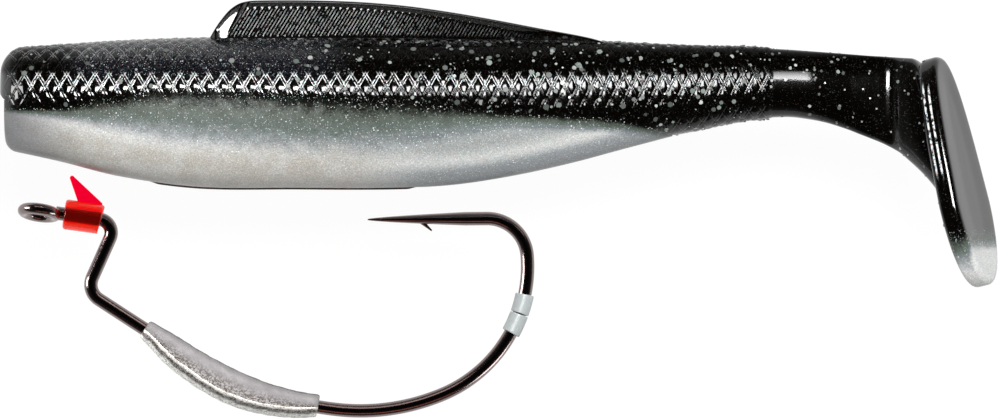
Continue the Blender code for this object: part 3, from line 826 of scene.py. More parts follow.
def paddle_outline(inset, count):
    """The plate's edge as (height above the widest level, sideways), from its foot round and back."""
    turn = np.linspace(-math.pi, math.pi, count)
    rise = np.where(np.cos(turn) >= 0, PADDLE_RISE, PADDLE_DROP) * np.cos(turn)
    t_up = np.clip(rise / PADDLE_RISE, 0.0, 1.0)
    t_down = np.clip(-rise / PADDLE_DROP, 0.0, 1.0)
    upper = (PADDLE_HALF_WIDTH - PADDLE_TAPER * t_up) * (1 - t_up**4) ** 0.4
    lower = PADDLE_HALF_WIDTH * np.sqrt(1 - t_down**2)
    wide = np.where(rise >= 0, upper, lower) * np.sign(turn)
    share_rise = 1 - inset / ((PADDLE_RISE + PADDLE_DROP) / 2)
    middle = (PADDLE_RISE - PADDLE_DROP) / 2
    return middle + (rise - middle) * share_rise, wide * (1 - inset / PADDLE_HALF_WIDTH)


def even_outline(inset, count):
    """The plate's edge again, with its points evenly spaced."""
    rise, wide = paddle_outline(inset, 721)
    length = np.concatenate([[0.0], np.cumsum(np.hypot(np.diff(rise), np.diff(wide)))])
    at = np.linspace(0.0, length[-1], count)
    return np.interp(at, length, rise), np.interp(at, length, wide)


def plate_ring(inset, level, count):
    """A ring on the plate, at a depth through it: level -1 is its front face and 1 its rear face."""
    rise, wide = even_outline(inset, count)
    lean, across = math.sin(PADDLE_TILT), math.cos(PADDLE_TILT)
    y = PADDLE_WIDEST_Y + rise * across
    x = PADDLE_REACH + (PADDLE_MIDDLE_Y - y) * lean / across
    offset = level * PADDLE_THICKNESS / 2
    return np.stack([x + offset * across, y + offset * lean, wide], axis=-1)


def web_ring(x, count):
    """A ring of the web between wrist and plate: flat-sided, and thicker towards its lower edge."""
    top, bottom, half, lean = (float(along(WEB_SECTIONS, x, column)) for column in (1, 2, 3, 4))
    flat = float(smooth(WEB_SECTIONS[0][0], -1.0, x))
    power = SECTION_POWER + (WEB_POWER - SECTION_POWER) * flat
    turn = np.linspace(-math.pi, math.pi, 721)
    up = signed_power(np.cos(turn), 2 / power)
    y = (top + bottom) / 2 + (top - bottom) / 2 * up
    z = half * signed_power(np.sin(turn), 2 / power) * (1 - WEB_WEDGE * flat * up)
    length = np.concatenate([[0.0], np.cumsum(np.hypot(np.diff(y), np.diff(z)))])
    at = np.linspace(0.0, length[-1], count)
    y, z = np.interp(at, length, y), np.interp(at, length, z)
    return np.stack([x + lean * (top - y), y, z], axis=-1)


def unit(vectors):
    return vectors / np.linalg.norm(vectors, axis=-1, keepdims=True)


def flare_rings(count, steps=30):
    """From the web out to the rim of the plate's front face, on a cubic curve for each point."""
    start = web_ring(FLARE_START, count)
    end = plate_ring(PADDLE_EDGE_RADIUS, -1.0, count)
    leave = unit(start - web_ring(FLARE_START - 0.3, count))
    arrive = unit(end - plate_ring(PADDLE_EDGE_RADIUS + 0.5, -1.0, count))
    reach = np.linalg.norm(end - start, axis=-1, keepdims=True) * FLARE_FULLNESS
    arrive = arrive * smooth(start[:, 1].max(), start[:, 1].max() - 2.0, start[:, 1])[:, None]
    rings = []
    for step in range(1, steps + 1):
        t = step / steps
        rings.append(
            (1 - t) ** 3 * start + 3 * (1 - t) ** 2 * t * (start + leave * reach)
            + 3 * (1 - t) * t**2 * (end - arrive * reach) + t**3 * end
        )
    return rings


def kicked(points):
    """Wrist points from straight behind the body to where they rest, bent round the wrist's axis."""
    weight = smooth(-WRIST_BEND, WRIST_BEND, points[:, 0])
    turn = weight * PADDLE_KICK
    x = points[:, 0] * np.cos(turn) + points[:, 2] * np.sin(turn)
    z = -points[:, 0] * np.sin(turn) + points[:, 2] * np.cos(turn)
    axis_x = NOSE_X + TAIL_JOINTS[2]
    return np.stack([axis_x + x, points[:, 1], MID_Z + z], axis=-1)


def paddle_facts(local, on_rear):
    """The plastic's values on the paddle: its foot turns pearl, sooner on the rear face."""
    level = PEARL_TIP_Y + 0.3 + 0.4 * on_rear
    depth = (level - local[:, 1]) / (2.2 - 1.0 * on_rear) - 0.1
    still = np.zeros(len(local))
    gloss = 1 - DULLING[1] * smooth(13.0, 14.2, local[:, 1]) * smooth(1.0, -1.5, local[:, 0])
    gloss = gloss * (1 - 0.67 * smooth(-1.4, -2.2, local[:, 0]))
    facts = {"depth": depth, "lower": still + 9.0, "haze": still, "rear": still, "gloss": gloss}
    # Painted highlight lines along the rim next to the front face
    through = (local[:, 0] - PADDLE_REACH) * math.cos(PADDLE_TILT)
    through = through + (local[:, 1] - PADDLE_MIDDLE_Y) * math.sin(PADDLE_TILT)
    on_rim = smooth(-PADDLE_THICKNESS * 0.65, -PADDLE_THICKNESS * 0.5, through)
    on_rim = on_rim * smooth(*PADDLE_HIGHLIGHT_ENDS[0], local[:, 1]) * smooth(*PADDLE_HIGHLIGHT_ENDS[1], local[:, 1])
    lines = 1 + (through - PADDLE_HIGHLIGHT_LINES[0]) / PADDLE_HIGHLIGHT_LINES[1]
    facts.update(scale_a=lines, scale_b=still + 0.5, scaled=on_rim, band=1.5 * on_rim)
    return facts


def build_tail_end(material):
    """Stalk, wrist, web and plate in one skin, cut where the plastic turns pearl."""
    count = RING_POINTS
    half_thickness = PADDLE_THICKNESS / 2
    round_off = PADDLE_EDGE_RADIUS
    shares = np.arange(7) / 6
    turns = shares * math.pi / 2
    rings = [(web_ring(x, count), 0.0) for x in stations(SEAMS[1] - TAIL_JOINTS[2], FLARE_START, 0.16)]
    rings += [(ring, 0.0) for ring in flare_rings(count)]
    for turn in turns[1:]:
        level = -1 + round_off * (1 - math.cos(turn)) / half_thickness
        rings.append((plate_ring(round_off * (1 - math.sin(turn)), level, count), 0.0))
    in_front = len(rings)
    for share, turn in zip(shares, turns):
        level = 1 - round_off * (1 - math.sin(turn)) / half_thickness
        rings.append((plate_ring(round_off * (1 - math.cos(turn)), level, count), share))
    for share in np.linspace(0.06, 0.97, 26):
        ring = plate_ring(round_off + share * PADDLE_HALF_WIDTH * 0.92, 1.0, count)
        ring[:, 0] -= PADDLE_DISH * smooth(0.0, 0.7, share)
        rings.append((ring, 1.0))

    skin = Skin()
    for local, on_rear in rings:
        skin.add(kicked(local), paddle_facts(local, on_rear))
    grid = skin.grid()
    # The first rings lead over from the skin ahead
    first, _ = upper_ring(SEAMS[1])
    for index in range(SEAM_RINGS):
        share = 1 - smooth(0, SEAM_RINGS, index)
        skin.rings[index] = skin.rings[index] + (first - grid[0]) * share
    whole, _ = skin.build("paddle_skin", material)
    tip = whole.copy()
    tip.data = whole.data.copy()
    tip.name = "paddle_tip_skin"
    bpy.context.scene.collection.objects.link(tip)
    cut_at(whole, keep_above=True)
    cut_at(tip, keep_above=False)
    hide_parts("tail_stalk", "paddle")
    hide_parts("paddle_tip")
    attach(tip, "paddle")
    return whole, grid[:in_front]


def cut_at(obj, keep_above):
    """Keeps the part of a closed piece on one side of the pearl tip's level and closes the cut."""
    work = bmesh.new()
    work.from_mesh(obj.data)
    geometry = work.verts[:] + work.edges[:] + work.faces[:]
    result = bmesh.ops.bisect_plane(
        work, geom=geometry, dist=1e-8, plane_co=(0.0, PEARL_TIP_Y * MM, 0.0), plane_no=(0.0, 1.0, 0.0),
        clear_inner=keep_above, clear_outer=not keep_above,
    )
    rim = [item for item in result["geom_cut"] if isinstance(item, bmesh.types.BMEdge)]
    bmesh.ops.edgeloop_fill(work, edges=rim)
    bmesh.ops.recalc_face_normals(work, faces=work.faces)
    work.to_mesh(obj.data)
    work.free()
    obj.data.set_sharp_from_angle(angle=math.radians(55))


# ---------------------------------------------------------------- fin

def fin_ring(distance, side):
    """One half of the fin across one section: down its ribbed outer face is the first stretch."""
    root = float(along(BODY_PROFILE, distance, 1))
    height = max(float(along(FIN_PROFILE, distance, 1)), 0.0)
    top = root + height
    low = root - FIN_SUNK
    ahead = distance - FIN_PROFILE[0][0]
    slim = 0.5 + 0.5 * float(smooth(0.0, 0.7, ahead))
    crown = min(0.14, height * 0.3 + 0.05)
    rows = np.linspace(0.0, 1.0, 44)
    y = low + (top - crown - low) * rows
    taper = np.clip((y - root) / max(height - FIN_RIM, FIN_RIM), 0.0, 1.0)
    front, behind = FIN_TOP_THICKNESS
    top_thickness = front + (behind - front) * smooth(26.0, 42.0, distance)
    thick = FIN_ROOT_THICKNESS + (top_thickness - FIN_ROOT_THICKNESS) * taper
    inner = FIN_SLOT / 2
    outer = inner + thick * slim

    phase = (distance - (y - root) * RIB_LEAN) / RIB_PITCH
    rib = np.abs(np.cos(math.pi * phase)) ** 1.3
    margin = smooth(1.5, 2.1, ahead - (y - root) * 0.55)
    shown = smooth(root + 0.1, root + 0.4, y) * smooth(top - FIN_RIM + 0.1, top - FIN_RIM - 0.35, y)
    tail_fade = 1 - 0.55 * float(smooth(36.0, 46.0, distance)) - 0.45 * float(smooth(50.0, 58.0, distance))
    outer = outer + RIB_HEIGHT * (rib - 0.5) * shown * margin * tail_fade
    outer = outer - (1 - margin) * np.clip(y - root, 0.0, None) * FIN_MARGIN_SLOPE

    turn = np.linspace(0.0, math.pi, 13)[1:-1]
    middle, half = (outer[-1] + inner) / 2, (outer[-1] - inner) / 2
    crown_y = y[-1] + crown * np.sin(turn)
    crown_z = middle + half * np.cos(turn)
    back_y = np.linspace(y[-1], low, 10)
    back_z = np.full(10, inner)
    ring_y = np.concatenate([y, crown_y, back_y])
    ring_z = np.concatenate([outer, crown_z, back_z])
    size = len(ring_y)
    ring = np.stack([np.full(size, NOSE_X + distance), ring_y, MID_Z + side * ring_z], axis=-1)
    still = np.zeros(size)
    facts = {"depth": still - 1.0, "lower": still + 9.0, "haze": still, "rear": still}
    blank = np.zeros(size - len(y))
    rim_gloss = 1 - FIN_EDGE_DULLING * smooth(top - 0.45, top - 0.2, y)
    facts["gloss"] = np.concatenate([rim_gloss, blank + 1 - FIN_EDGE_DULLING])
    # Painted highlight lines along the ribs, over the ribbed face
    facts["scale_a"] = np.concatenate([2 * phase, blank + 0.5])
    facts["scale_b"] = still + 0.5
    facts["scaled"] = np.concatenate([shown * margin * tail_fade, blank])
    facts["band"] = 1.5 * facts["scaled"]
    return ring, facts


def build_fin(name, side, material):
    skin = Skin()
    start, end = FIN_PROFILE[0][0], FIN_PROFILE[-1][0]
    for distance in stations(start + 0.05, end - 0.1, 0.09):
        skin.add(*fin_ring(distance, side))
    fin, _ = skin.build(f"{name}_skin", material, sharp=50.0)
    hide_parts(name)
    root = along(BODY_PROFILE, 40.0, 1)
    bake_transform(fin)


# ---------------------------------------------------------------- glitter

LOWEST_FLAKE = 0.35              # no flakes lie nearer to the table than this
FLAKE_LEAN = 0.1
FLAKE_FACES = (-0.03, 0.012)     # how far a flake's two faces lie from its middle


def flake_places(grid, number, weight):
    """Random places on a grid of rings: (point, outward direction), chosen by weight."""
    here = grid[1:-1, 1:-1]
    ahead = grid[2:, 1:-1] - grid[:-2, 1:-1]
    round_ = grid[1:-1, 2:] - grid[1:-1, :-2]
    normal = np.cross(round_, ahead)
    size = np.linalg.norm(normal, axis=-1)
    chance = (size * weight(here)).ravel()
    picks = RANDOM.choice(chance.size, size=number, replace=False, p=chance / chance.sum())
    slide = RANDOM.uniform(-0.25, 0.25, (number, 2))
    points = here.reshape(-1, 3)[picks]
    points = points + ahead.reshape(-1, 3)[picks] * slide[:, :1] + round_.reshape(-1, 3)[picks] * slide[:, 1:]
    smooth_normal = smoothed(normal)
    return points, smooth_normal.reshape(-1, 3)[picks]


def smoothed(normal):
    """Directions averaged over their neighbours, so that flakes ignore the small relief."""
    total = normal.copy()
    for axis in (0, 1):
        for shift in (2, 4, 6):
            total = total + np.roll(total, shift, axis) + np.roll(total, -shift, axis)
            total = total / np.linalg.norm(total, axis=-1, keepdims=True)
    return total


def build_flakes(name, grid, number, weight, material, sizes=(0.07, 0.33)):
    """Six-sided flakes lying in the surface of one skin."""
    corners, faces, shine, hue = [], [], [], []
    for point, normal in zip(*flake_places(grid, number, weight)):
        if point[2] < LOWEST_FLAKE:
            continue
        normal = unit(normal)
        up = unit(normal + RANDOM.normal(0.0, FLAKE_LEAN, 3))
        first = unit(np.cross(up, (0.0, 0.0, 1.0) if abs(up[2]) < 0.9 else (0.0, 1.0, 0.0)))
        second = np.cross(up, first)
        size = RANDOM.random() ** 2.6
        radius = sizes[0] + (sizes[1] - sizes[0]) * size
        turn = RANDOM.random() * math.pi / 3 + np.arange(6) * math.pi / 3
        rim = (np.outer(np.cos(turn), first) + np.outer(np.sin(turn), second)) * radius
        base = len(corners)
        centre = point + normal * (0.01 + 0.12 * radius)
        for lift in FLAKE_FACES:
            corners.extend(centre + rim + up * lift)
        faces.append(tuple(base + i for i in range(5, -1, -1)))
        faces.append(tuple(base + 6 + i for i in range(6)))
        for i in range(6):
            j = (i + 1) % 6
            faces.append((base + i, base + j, base + 6 + j, base + 6 + i))
        bright = RANDOM.random() ** 1.8 * (1 - 0.55 * size)
        shine.extend([0.08 + 0.92 * bright] * 12)
        hue.extend([RANDOM.random()] * 12)
    facts = {"shine": np.array(shine), "hue": np.array(hue)}
    flakes = make_object(name, np.array(corners), faces, material, facts, sharp=20.0)
    return flakes


def dark_weight(points):
    """Glitter density over the back: thin at the head, thick from the middle on, none in the pearl."""
    distance, height = points[..., 0] - NOSE_X, points[..., 1]
    edge = along(DARK_ENDS, distance.ravel(), 1).reshape(distance.shape)
    dark = smooth(edge - 0.9, edge + 0.3, height)
    density = 0.28 + 0.95 * smooth(28.0, 40.0, distance) - 0.25 * smooth(66.0, 74.0, distance)
    return dark * density + 0.004


def paddle_weight(points):
    """Glitter density over the wrist and paddle: even, with none in the pearl tip."""
    return smooth(PEARL_TIP_Y + 0.4, PEARL_TIP_Y + 1.4, points[..., 1]) + 1e-6


# ---------------------------------------------------------------- hook and what it carries

def wire_path():
    """The wire's middle line as rows of (distance along it, x, y, heading)."""
    x, y = WIRE_START
    heading = math.radians(WIRE_HEADING)
    gone = 0.0
    path = [(gone, x, y, heading)]
    for bend in WIRE_BENDS:
        size = bend[0]
        if len(bend) == 1:
            pieces = round(size / WIRE_STEP)
            for _ in range(pieces):
                x += math.cos(heading) * size / pieces
                y += math.sin(heading) * size / pieces
                gone += size / pieces
                path.append((gone, x, y, heading))
            continue
        turn = math.radians(bend[1])
        length = abs(turn) * size
        pieces = max(12, round(length / WIRE_STEP))
        side = math.copysign(1.0, turn)
        centre_x = x - math.sin(heading) * size * side
        centre_y = y + math.cos(heading) * size * side
        for piece in range(1, pieces + 1):
            angle = heading + turn * piece / pieces
            x = centre_x + math.sin(angle) * size * side
            y = centre_y - math.cos(angle) * size * side
            path.append((gone + length * piece / pieces, x, y, angle))
        heading += turn
        gone += length
    return np.array(path)


WIRE = wire_path()
WIRE_LENGTH = WIRE[-1, 0]


def wire_at(distance):
    return tuple(float(np.interp(distance, WIRE[:, 0], WIRE[:, column])) for column in (1, 2, 3))


def ring_about(place, radius, sides, turn=0.0):
    """A circle of points round the wire at (x, y, heading)."""
    x, y, heading = place
    angle = 2 * math.pi * np.arange(sides) / sides + turn
    up = radius * np.cos(angle)
    return np.stack([x - math.sin(heading) * up, y + math.cos(heading) * up, radius * np.sin(angle)], axis=-1)


def hook_frame():
    """The hook's own plane, tilted about the line from its eye to its weight."""
    eye = Vector((*WIRE_START, 0.0))
    axis = Vector((math.cos(HOOK_TILT_HEADING), math.sin(HOOK_TILT_HEADING), 0.0))
    tilt = Matrix.Translation(eye) @ Matrix.Rotation(-HOOK_TILT, 4, axis) @ Matrix.Translation(-eye)
    return np.array(Matrix.Translation((0.0, 0.0, HOOK_HEIGHT)) @ tilt)


HOOK_FRAME = hook_frame()


def placed(points):
    """Points from the hook's plane to where the hook lies."""
    points = np.asarray(points, float)
    return points @ HOOK_FRAME[:3, :3].T + HOOK_FRAME[:3, 3]


def hook_piece(name, rings, material, closed=False, sharp=40.0, facts=None):
    """A loft in the hook's plane; its ends are drawn in to a point unless it is closed."""
    rings = [np.asarray(ring, float) for ring in rings]
    if not closed:
        rings = cap_rings(rings[0], CAP_SHARES)[::-1] + rings + cap_rings(rings[-1], CAP_SHARES)
    grid = np.array(rings)
    points = placed(grid.reshape(-1, 3))
    values = {"rest": points}
    values.update(facts or {})
    faces = loft_faces(grid.shape[0], grid.shape[1], closed)
    return make_object(name, points, faces, material, values, sharp)


def tube_rings(span, outer, inner, bevel, step=0.12, sides=40):
    """A short tube along the wire with rounded ends and an open bore."""
    start, end = span
    turns = np.linspace(0.0, math.pi / 2, 6)
    rims = outer - bevel * (1 - np.cos(turns))
    rings = list(zip(start + bevel * (1 - np.sin(turns)), rims))[::-1]
    rings += [(at, outer) for at in stations(start + bevel, end - bevel, step)[1:-1]]
    rings += list(zip(end - bevel * (1 - np.sin(turns)), rims))
    rings += [(at, inner) for at in stations(start, end, step)[::-1]]
    return [ring_about(wire_at(at), radius, sides) for at, radius in rings]


def join(obj, others):
    """Makes one closed body of overlapping ones."""
    for other in others:
        modifier = obj.modifiers.new(other.name, "BOOLEAN")
        modifier.operation = "UNION"
        modifier.object = other
        modifier.solver = "EXACT"
    bpy.context.view_layer.update()
    merged = bpy.data.meshes.new_from_object(obj.evaluated_get(bpy.context.evaluated_depsgraph_get()))
    obj.modifiers.clear()
    obj.data = merged
    for other in others:
        bpy.data.objects.remove(other, do_unlink=True)


def eye_rings(steps=72, sides=24):
    """The eye's ring. It stands on edge beside the wire's end, rolled a little about the wire."""
    heading = math.radians(WIRE_HEADING)
    ahead = np.array((math.cos(heading), math.sin(heading), 0.0))
    beside = np.array((-math.sin(heading), math.cos(heading), 0.0))
    upright = np.array((0.0, 0.0, 1.0)) * math.cos(EYE_ROLL) + beside * math.sin(EYE_ROLL)
    normal = np.cross(ahead, upright)
    centre = np.array((*WIRE_START, 0.0)) - ahead * EYE_RADIUS - beside * EYE_DROP
    angle = 2 * math.pi * np.arange(sides)[:, None] / sides
    rings = []
    for turn in 2 * math.pi * np.arange(steps) / steps:
        out = ahead * math.cos(turn) + upright * math.sin(turn)
        around = out * np.cos(angle) + normal * np.sin(angle)
        rings.append(centre + out * EYE_RADIUS + around * EYE_WIRE_RADIUS)
    return rings


def build_hook(material):
    rings = []
    for gone, x, y, heading in WIRE:
        share = min((WIRE_LENGTH - gone) / POINT_TAPER, 1.0)
        radius = POINT_RADIUS + (WIRE_RADIUS - POINT_RADIUS) * share**POINT_FULLNESS
        rings.append(ring_about((x, y, heading), radius, WIRE_SIDES))
    hook = hook_piece("hook_wire", rings, material)
    eye = hook_piece("hook_eye", eye_rings(), material, closed=True)
    ends = []
    for from_point, height, radius in (BARB_ROOT, BARB_TIP):
        x, y, heading = wire_at(WIRE_LENGTH - from_point)
        ends.append((x - math.sin(heading) * height, y + math.cos(heading) * height, radius))
    root, tip = np.array(ends)
    heading = math.atan2(tip[1] - root[1], tip[0] - root[0])
    rings = []
    for share in np.linspace(0.0, 1.0, 7):
        x, y, _ = root + (tip - root) * share
        radius = root[2] + (tip[2] - root[2]) * share**0.8
        rings.append(ring_about((x, y, heading), radius, 12))
    barb = hook_piece("hook_barb", rings, material)
    join(hook, [eye, barb])
    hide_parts("hook")
    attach(hook, "hook")


def weight_ring(distance, count):
    """The keel weight across the wire: narrow on top, widest near the bottom, bevelled below."""
    above, below, half = (float(along(WEIGHT_SECTIONS, distance, column)) for column in (1, 2, 3))
    heights = [above, above - 0.05, above - 0.3, 0.2 - 0.3 * below, 1.12 - below, 0.95 - below,
               0.55 - below, 0.12 - below, -below]
    shares = [0.0, 0.33, 0.6, 0.9, 0.99, 1.0, 0.84, 0.42, 0.0]
    girths = [0.0, 0.04, 0.14, 0.5, 0.66, 0.73, 0.83, 0.94, 1.0]
    heights = np.array(heights + heights[-2:0:-1])
    shares = np.array(shares + [-share for share in shares[-2:0:-1]])
    girths = np.array(girths + girths[-2:0:-1])
    closed = np.concatenate([heights, heights[:1]]), np.concatenate([shares * half, shares[:1] * half])
    length = np.concatenate([[0.0], np.cumsum(np.hypot(np.diff(closed[0]), np.diff(closed[1])))])
    at = np.linspace(0.0, length[-1], count, endpoint=False)
    up, out = np.interp(at, length, closed[0]), np.interp(at, length, closed[1])
    girth = np.interp(at, length, np.concatenate([girths, girths[:1]]))
    for _ in range(2):
        up = (np.roll(up, 1) + up * 2 + np.roll(up, -1)) / 4
        out = (np.roll(out, 1) + out * 2 + np.roll(out, -1)) / 4
    x, y, heading = wire_at(distance)
    return np.stack([x - math.sin(heading) * up, y + math.cos(heading) * up, out], axis=-1), girth


def build_weight(material):
    count = 84
    start, end = WEIGHT_SECTIONS[0][0], WEIGHT_SECTIONS[-1][0]
    bevel = 0.28
    places = [start + bevel * (1 - math.cos(t)) for t in np.linspace(0.0, math.pi / 2, 6)[:-1]]
    places += list(stations(start + bevel, end - bevel, 0.16))
    places += [end - bevel * (1 - math.sin(t)) for t in np.linspace(0.0, math.pi / 2, 6)[1:]]
    rings, girths = [], []
    for place in places:
        ring, girth = weight_ring(place, count)
        near = min(place - start, end - place)
        inset = float(corner_drop(near, bevel))
        middle = np.array((*wire_at(place)[:2], 0.0))
        out = ring - middle
        size = np.linalg.norm(out, axis=-1, keepdims=True)
        rough = [0.06 * noise.noise(Vector(point) * 1.3) + 0.02 * noise.noise(Vector(point) * 5.0)
                 for point in ring]
        ring = middle + out * (1 - inset / size) + out / size * np.array(rough)[:, None]
        rings.append(ring)
        girths.append(girth)
    ends = len(CAP_SHARES)
    girth = np.concatenate([girths[0]] * ends + girths + [girths[-1]] * ends)
    weight = hook_piece("keel_weight_casting", rings, material, facts={"girth": girth}, sharp=60.0)
    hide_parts("keel_weight")
    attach(weight, "hook")


def build_keeper(orange, crimson):
    collar = hook_piece("keeper_collar_tube", tube_rings(COLLAR_SPAN, COLLAR_RADIUS, COLLAR_BORE, 0.3),
                        orange, closed=True)
    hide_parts("keeper_collar")
    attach(collar, "hook")

    x, y = WIRE_START
    heading = math.radians(WIRE_HEADING)
    forward = np.array((math.cos(heading), math.sin(heading)))
    upward = np.array((-math.sin(heading), math.cos(heading)))
    outline = np.array([np.array((x, y)) + forward * ahead + upward * up for ahead, up in SPIKE_OUTLINE])
    rings = []
    for level, inset in ((-1.0, 0.12), (-0.8, 0.0), (0.8, 0.0), (1.0, 0.12)):
        middle = outline.mean(axis=0)
        reach = np.linalg.norm(outline - middle, axis=-1, keepdims=True)
        flat = middle + (outline - middle) * (1 - inset / reach)
        rings.append(np.column_stack([flat, np.full(len(flat), level * SPIKE_THICKNESS / 2)]))
    spike = hook_piece("keeper_spike", rings, crimson, sharp=25.0)
    modifier = spike.modifiers.new("soft edges", "BEVEL")
    modifier.width = 0.1 * MM
    modifier.segments = 3
    modifier.limit_method = "ANGLE"
    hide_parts("keeper_barb")
    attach(spike, "hook")


def build_bands(material):
    for name, span in (("upper_sleeve", UPPER_BAND_SPAN), ("lower_sleeve", LOWER_BAND_SPAN)):
        band = hook_piece(f"{name}_tube", tube_rings(span, BAND_RADIUS, BAND_BORE, 0.08, step=0.15),
                          material, closed=True)
        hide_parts(name)
        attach(band, name)


# ---------------------------------------------------------------- studio

CAMERA_LENS = 400.0
CAMERA_SENSOR = 36.0
VIEW_WIDTH = BAIT_LENGTH * 1.001
LIGHT_REACH = 0.42               # every light stands this far from what it lights, in metres
SKY_STOPS = ((0.0, 0.3), (0.15, 0.14), (0.4, 0.03), (1.0, 0.004))  # height and brightness
FLOOR_REACH = 3.0
FLOOR_DROP = 17.0                # the tail swings down past where the bait rests, so the floor is lower


def point_at(obj, place, target, spin=0.0):
    """Turns an object's back to point at a target, then spins it about that line."""
    obj.location = place
    direction = Vector(target) - Vector(place)
    turn = direction.to_track_quat("-Z", "Y") @ Quaternion((0.0, 0.0, 1.0), spin)
    obj.rotation_euler = turn.to_euler()


def soft_light(name, target, heading, tilt, size, radiance, colour=(1.0, 1.0, 1.0)):
    """An area light seen from the target at a compass heading and a tilt from straight up, in degrees."""
    light = bpy.data.lights.new(name, "AREA")
    light.shape = "RECTANGLE"
    light.size, light.size_y = size
    light.energy = radiance * math.pi * size[0] * size[1]
    light.color = colour
    lamp = bpy.data.objects.new(name, light)
    bpy.context.scene.collection.objects.link(lamp)
    turn, lean = math.radians(heading), math.radians(tilt)
    out = Vector((math.cos(turn) * math.sin(lean), math.sin(turn) * math.sin(lean), math.cos(lean)))
    point_at(lamp, Vector(target) + out * LIGHT_REACH, target, spin=math.pi / 2 - turn)
    lamp.visible_camera = False
    return lamp


def link_light(lamp, state, *names):
    """Keeps a light off some pieces, or on those pieces alone, as a card does that stands close to them."""
    chosen = bpy.data.collections.new(f"{lamp.name}_pieces")
    for name in names:
        chosen.objects.link(bpy.data.objects[name])
    for entry in chosen.collection_objects:
        entry.light_linking.link_state = state
    lamp.light_linking.receiver_collection = chosen


def build_studio():
    build_camera()
    build_lights()
    build_world()
    build_floor()
    bpy.context.scene.view_settings.view_transform = "Standard"


def build_camera():
    """A long lens straight above the bait."""
    camera_data = bpy.data.cameras.new("camera")
    camera_data.lens = CAMERA_LENS
    camera_data.sensor_width = CAMERA_SENSOR
    camera_data.clip_start, camera_data.clip_end = 0.01, 20.0
    camera = bpy.data.objects.new("camera", camera_data)
    bpy.context.scene.collection.objects.link(camera)
    camera.location = (0.0, 0.0, (MID_Z + VIEW_WIDTH * CAMERA_LENS / CAMERA_SENSOR) * MM)
    bpy.context.scene.camera = camera


def build_lights():
    wire_target = (0.0, -0.01, 0.01)
    key = soft_light("key_softbox", (0.0, 0.0, 0.01), 69.0, 17.0, (0.22, 0.11), 46.0)
    left = soft_light("low_left_card", (-0.04, 0.0, 0.01), 171.0, 72.0, (0.2, 0.16), 13.0)
    bend = soft_light("low_bend_card", wire_target, -42.0, 81.0, (0.2, 0.1), 7.0)
    warm = soft_light("warm_card", wire_target, -92.0, 50.0, (0.4, 0.08), 0.9, (1.0, 0.34, 0.26))
    upper = soft_light("upper_card", wire_target, 75.0, 52.0, (0.6, 0.13), 1.5, (1.0, 0.86, 0.82))
    link_light(key, "EXCLUDE", "hook_wire", "keeper_collar_tube", "keeper_spike")
    for card in (warm, upper, bend):
        link_light(card, "INCLUDE", "hook_wire")
    link_light(left, "INCLUDE", "hook_wire", "keeper_collar_tube", "keel_weight_casting", "back_skin")


def build_world():
    """Dim surroundings, paler towards the horizon."""
    world = bpy.data.worlds.new("studio")
    bpy.context.scene.world = world
    world.use_nodes = True
    nodes, links = world.node_tree.nodes, world.node_tree.links
    place = nodes.new("ShaderNodeTexCoord")
    split = nodes.new("ShaderNodeSeparateXYZ")
    ramp = nodes.new("ShaderNodeValToRGB")
    fill_ramp(ramp, [(height, scaled((1.0, 0.985, 0.98), value)) for height, value in SKY_STOPS])
    links.new(place.outputs["Generated"], split.inputs[0])
    links.new(split.outputs["Z"], ramp.inputs["Fac"])
    links.new(ramp.outputs["Color"], nodes["Background"].inputs["Color"])


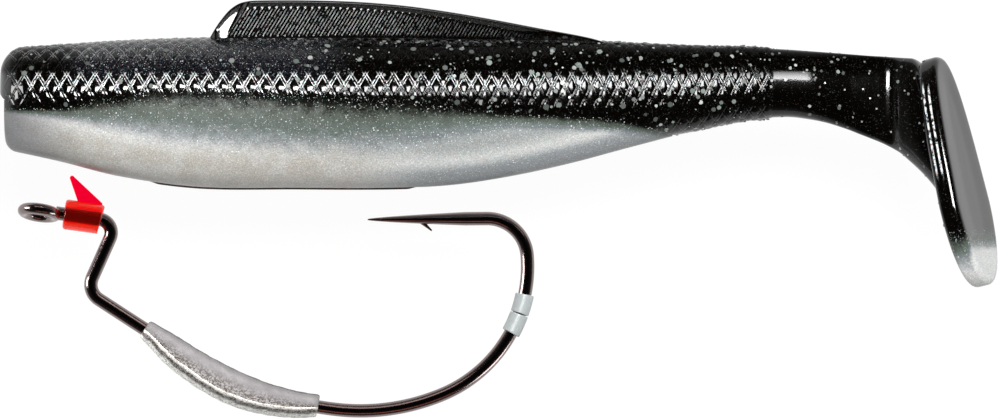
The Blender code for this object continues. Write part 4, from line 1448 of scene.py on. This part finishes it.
def build_floor():
    """A plain white floor that glows, so that no shadow shows on it."""
    mesh = bpy.data.meshes.new("floor")
    corners = [(x * FLOOR_REACH, y * FLOOR_REACH, 0) for x, y in ((-1, -1), (1, -1), (1, 1), (-1, 1))]
    mesh.from_pydata(corners, [], [(0, 1, 2, 3)])
    floor = bpy.data.objects.new("floor", mesh)
    floor.location.z = -FLOOR_DROP * MM
    bpy.context.scene.collection.objects.link(floor)
    white = Finish("floor_white")
    white.set(Base_Color=(0.03, 0.03, 0.03, 1.0), Roughness=1.0)
    white.set(Emission_Color=(1.0, 1.0, 1.0, 1.0), Emission_Strength=0.97)
    mesh.materials.append(white.material)


# ---------------------------------------------------------------- assembly

def main():
    plastic = bait_finish()
    glitter = flake_finish()
    back, stalk, grid_front, grid_middle = build_bait(plastic)
    rear, grid_rear = build_tail_end(plastic)
    build_fin("left_fin", 1, plastic)
    build_fin("right_fin", -1, plastic)

    flakes = [
        (back, build_flakes("glitter_body", grid_front, 1000, dark_weight, glitter)),
        (stalk, build_flakes("glitter_tail", grid_middle, 75, dark_weight, glitter, (0.11, 0.22))),
        (rear, build_flakes("glitter_paddle", grid_rear, 110, paddle_weight, glitter, (0.1, 0.2))),
    ]
    axis = [(NOSE_X + joint) * MM for joint in TAIL_JOINTS]
    kick = Vector((math.cos(PADDLE_KICK), 0.0, -math.sin(PADDLE_KICK)))
    wrist = Vector((axis[2], 0.0, MID_Z * MM))
    # Each skin and its glitter, with the two bodies and two points about its joint; here the pieces are only
    # baked in place
    spans = [
        ("bait", "tail_root", (axis[0] - 0.0042, 0, 0), (axis[0] + 0.0042, 0, 0)),
        ("tail_root", "tail_stalk", (axis[1] - 0.0041, 0, 0), (axis[1] + 0.0041, 0, 0)),
        ("tail_stalk", "paddle", wrist - kick * 0.0028, wrist + kick * 0.0024),
    ]
    for (ahead, behind, start, end), pieces in zip(spans, flakes):
        for piece in pieces:
            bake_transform(piece)

    build_hook(wire_finish())
    build_weight(lead_finish())
    # Both keeper plastics glow a little as painted light, the crimson most
    orange = clear_finish("keeper_orange", (1.0, 0.03, 0.012), 0.06, 0.9, 1.2, painted_glow=0.03)
    crimson = clear_finish("keeper_crimson", (0.95, 0.0, 0.045), 0.18, 0.3, 1.5, painted_glow=0.45)
    build_keeper(orange, crimson)
    build_bands(clear_finish("milky_silicone", (0.52, 0.56, 0.56), 0.3, 0.35, 2.0))
    build_studio()


main()
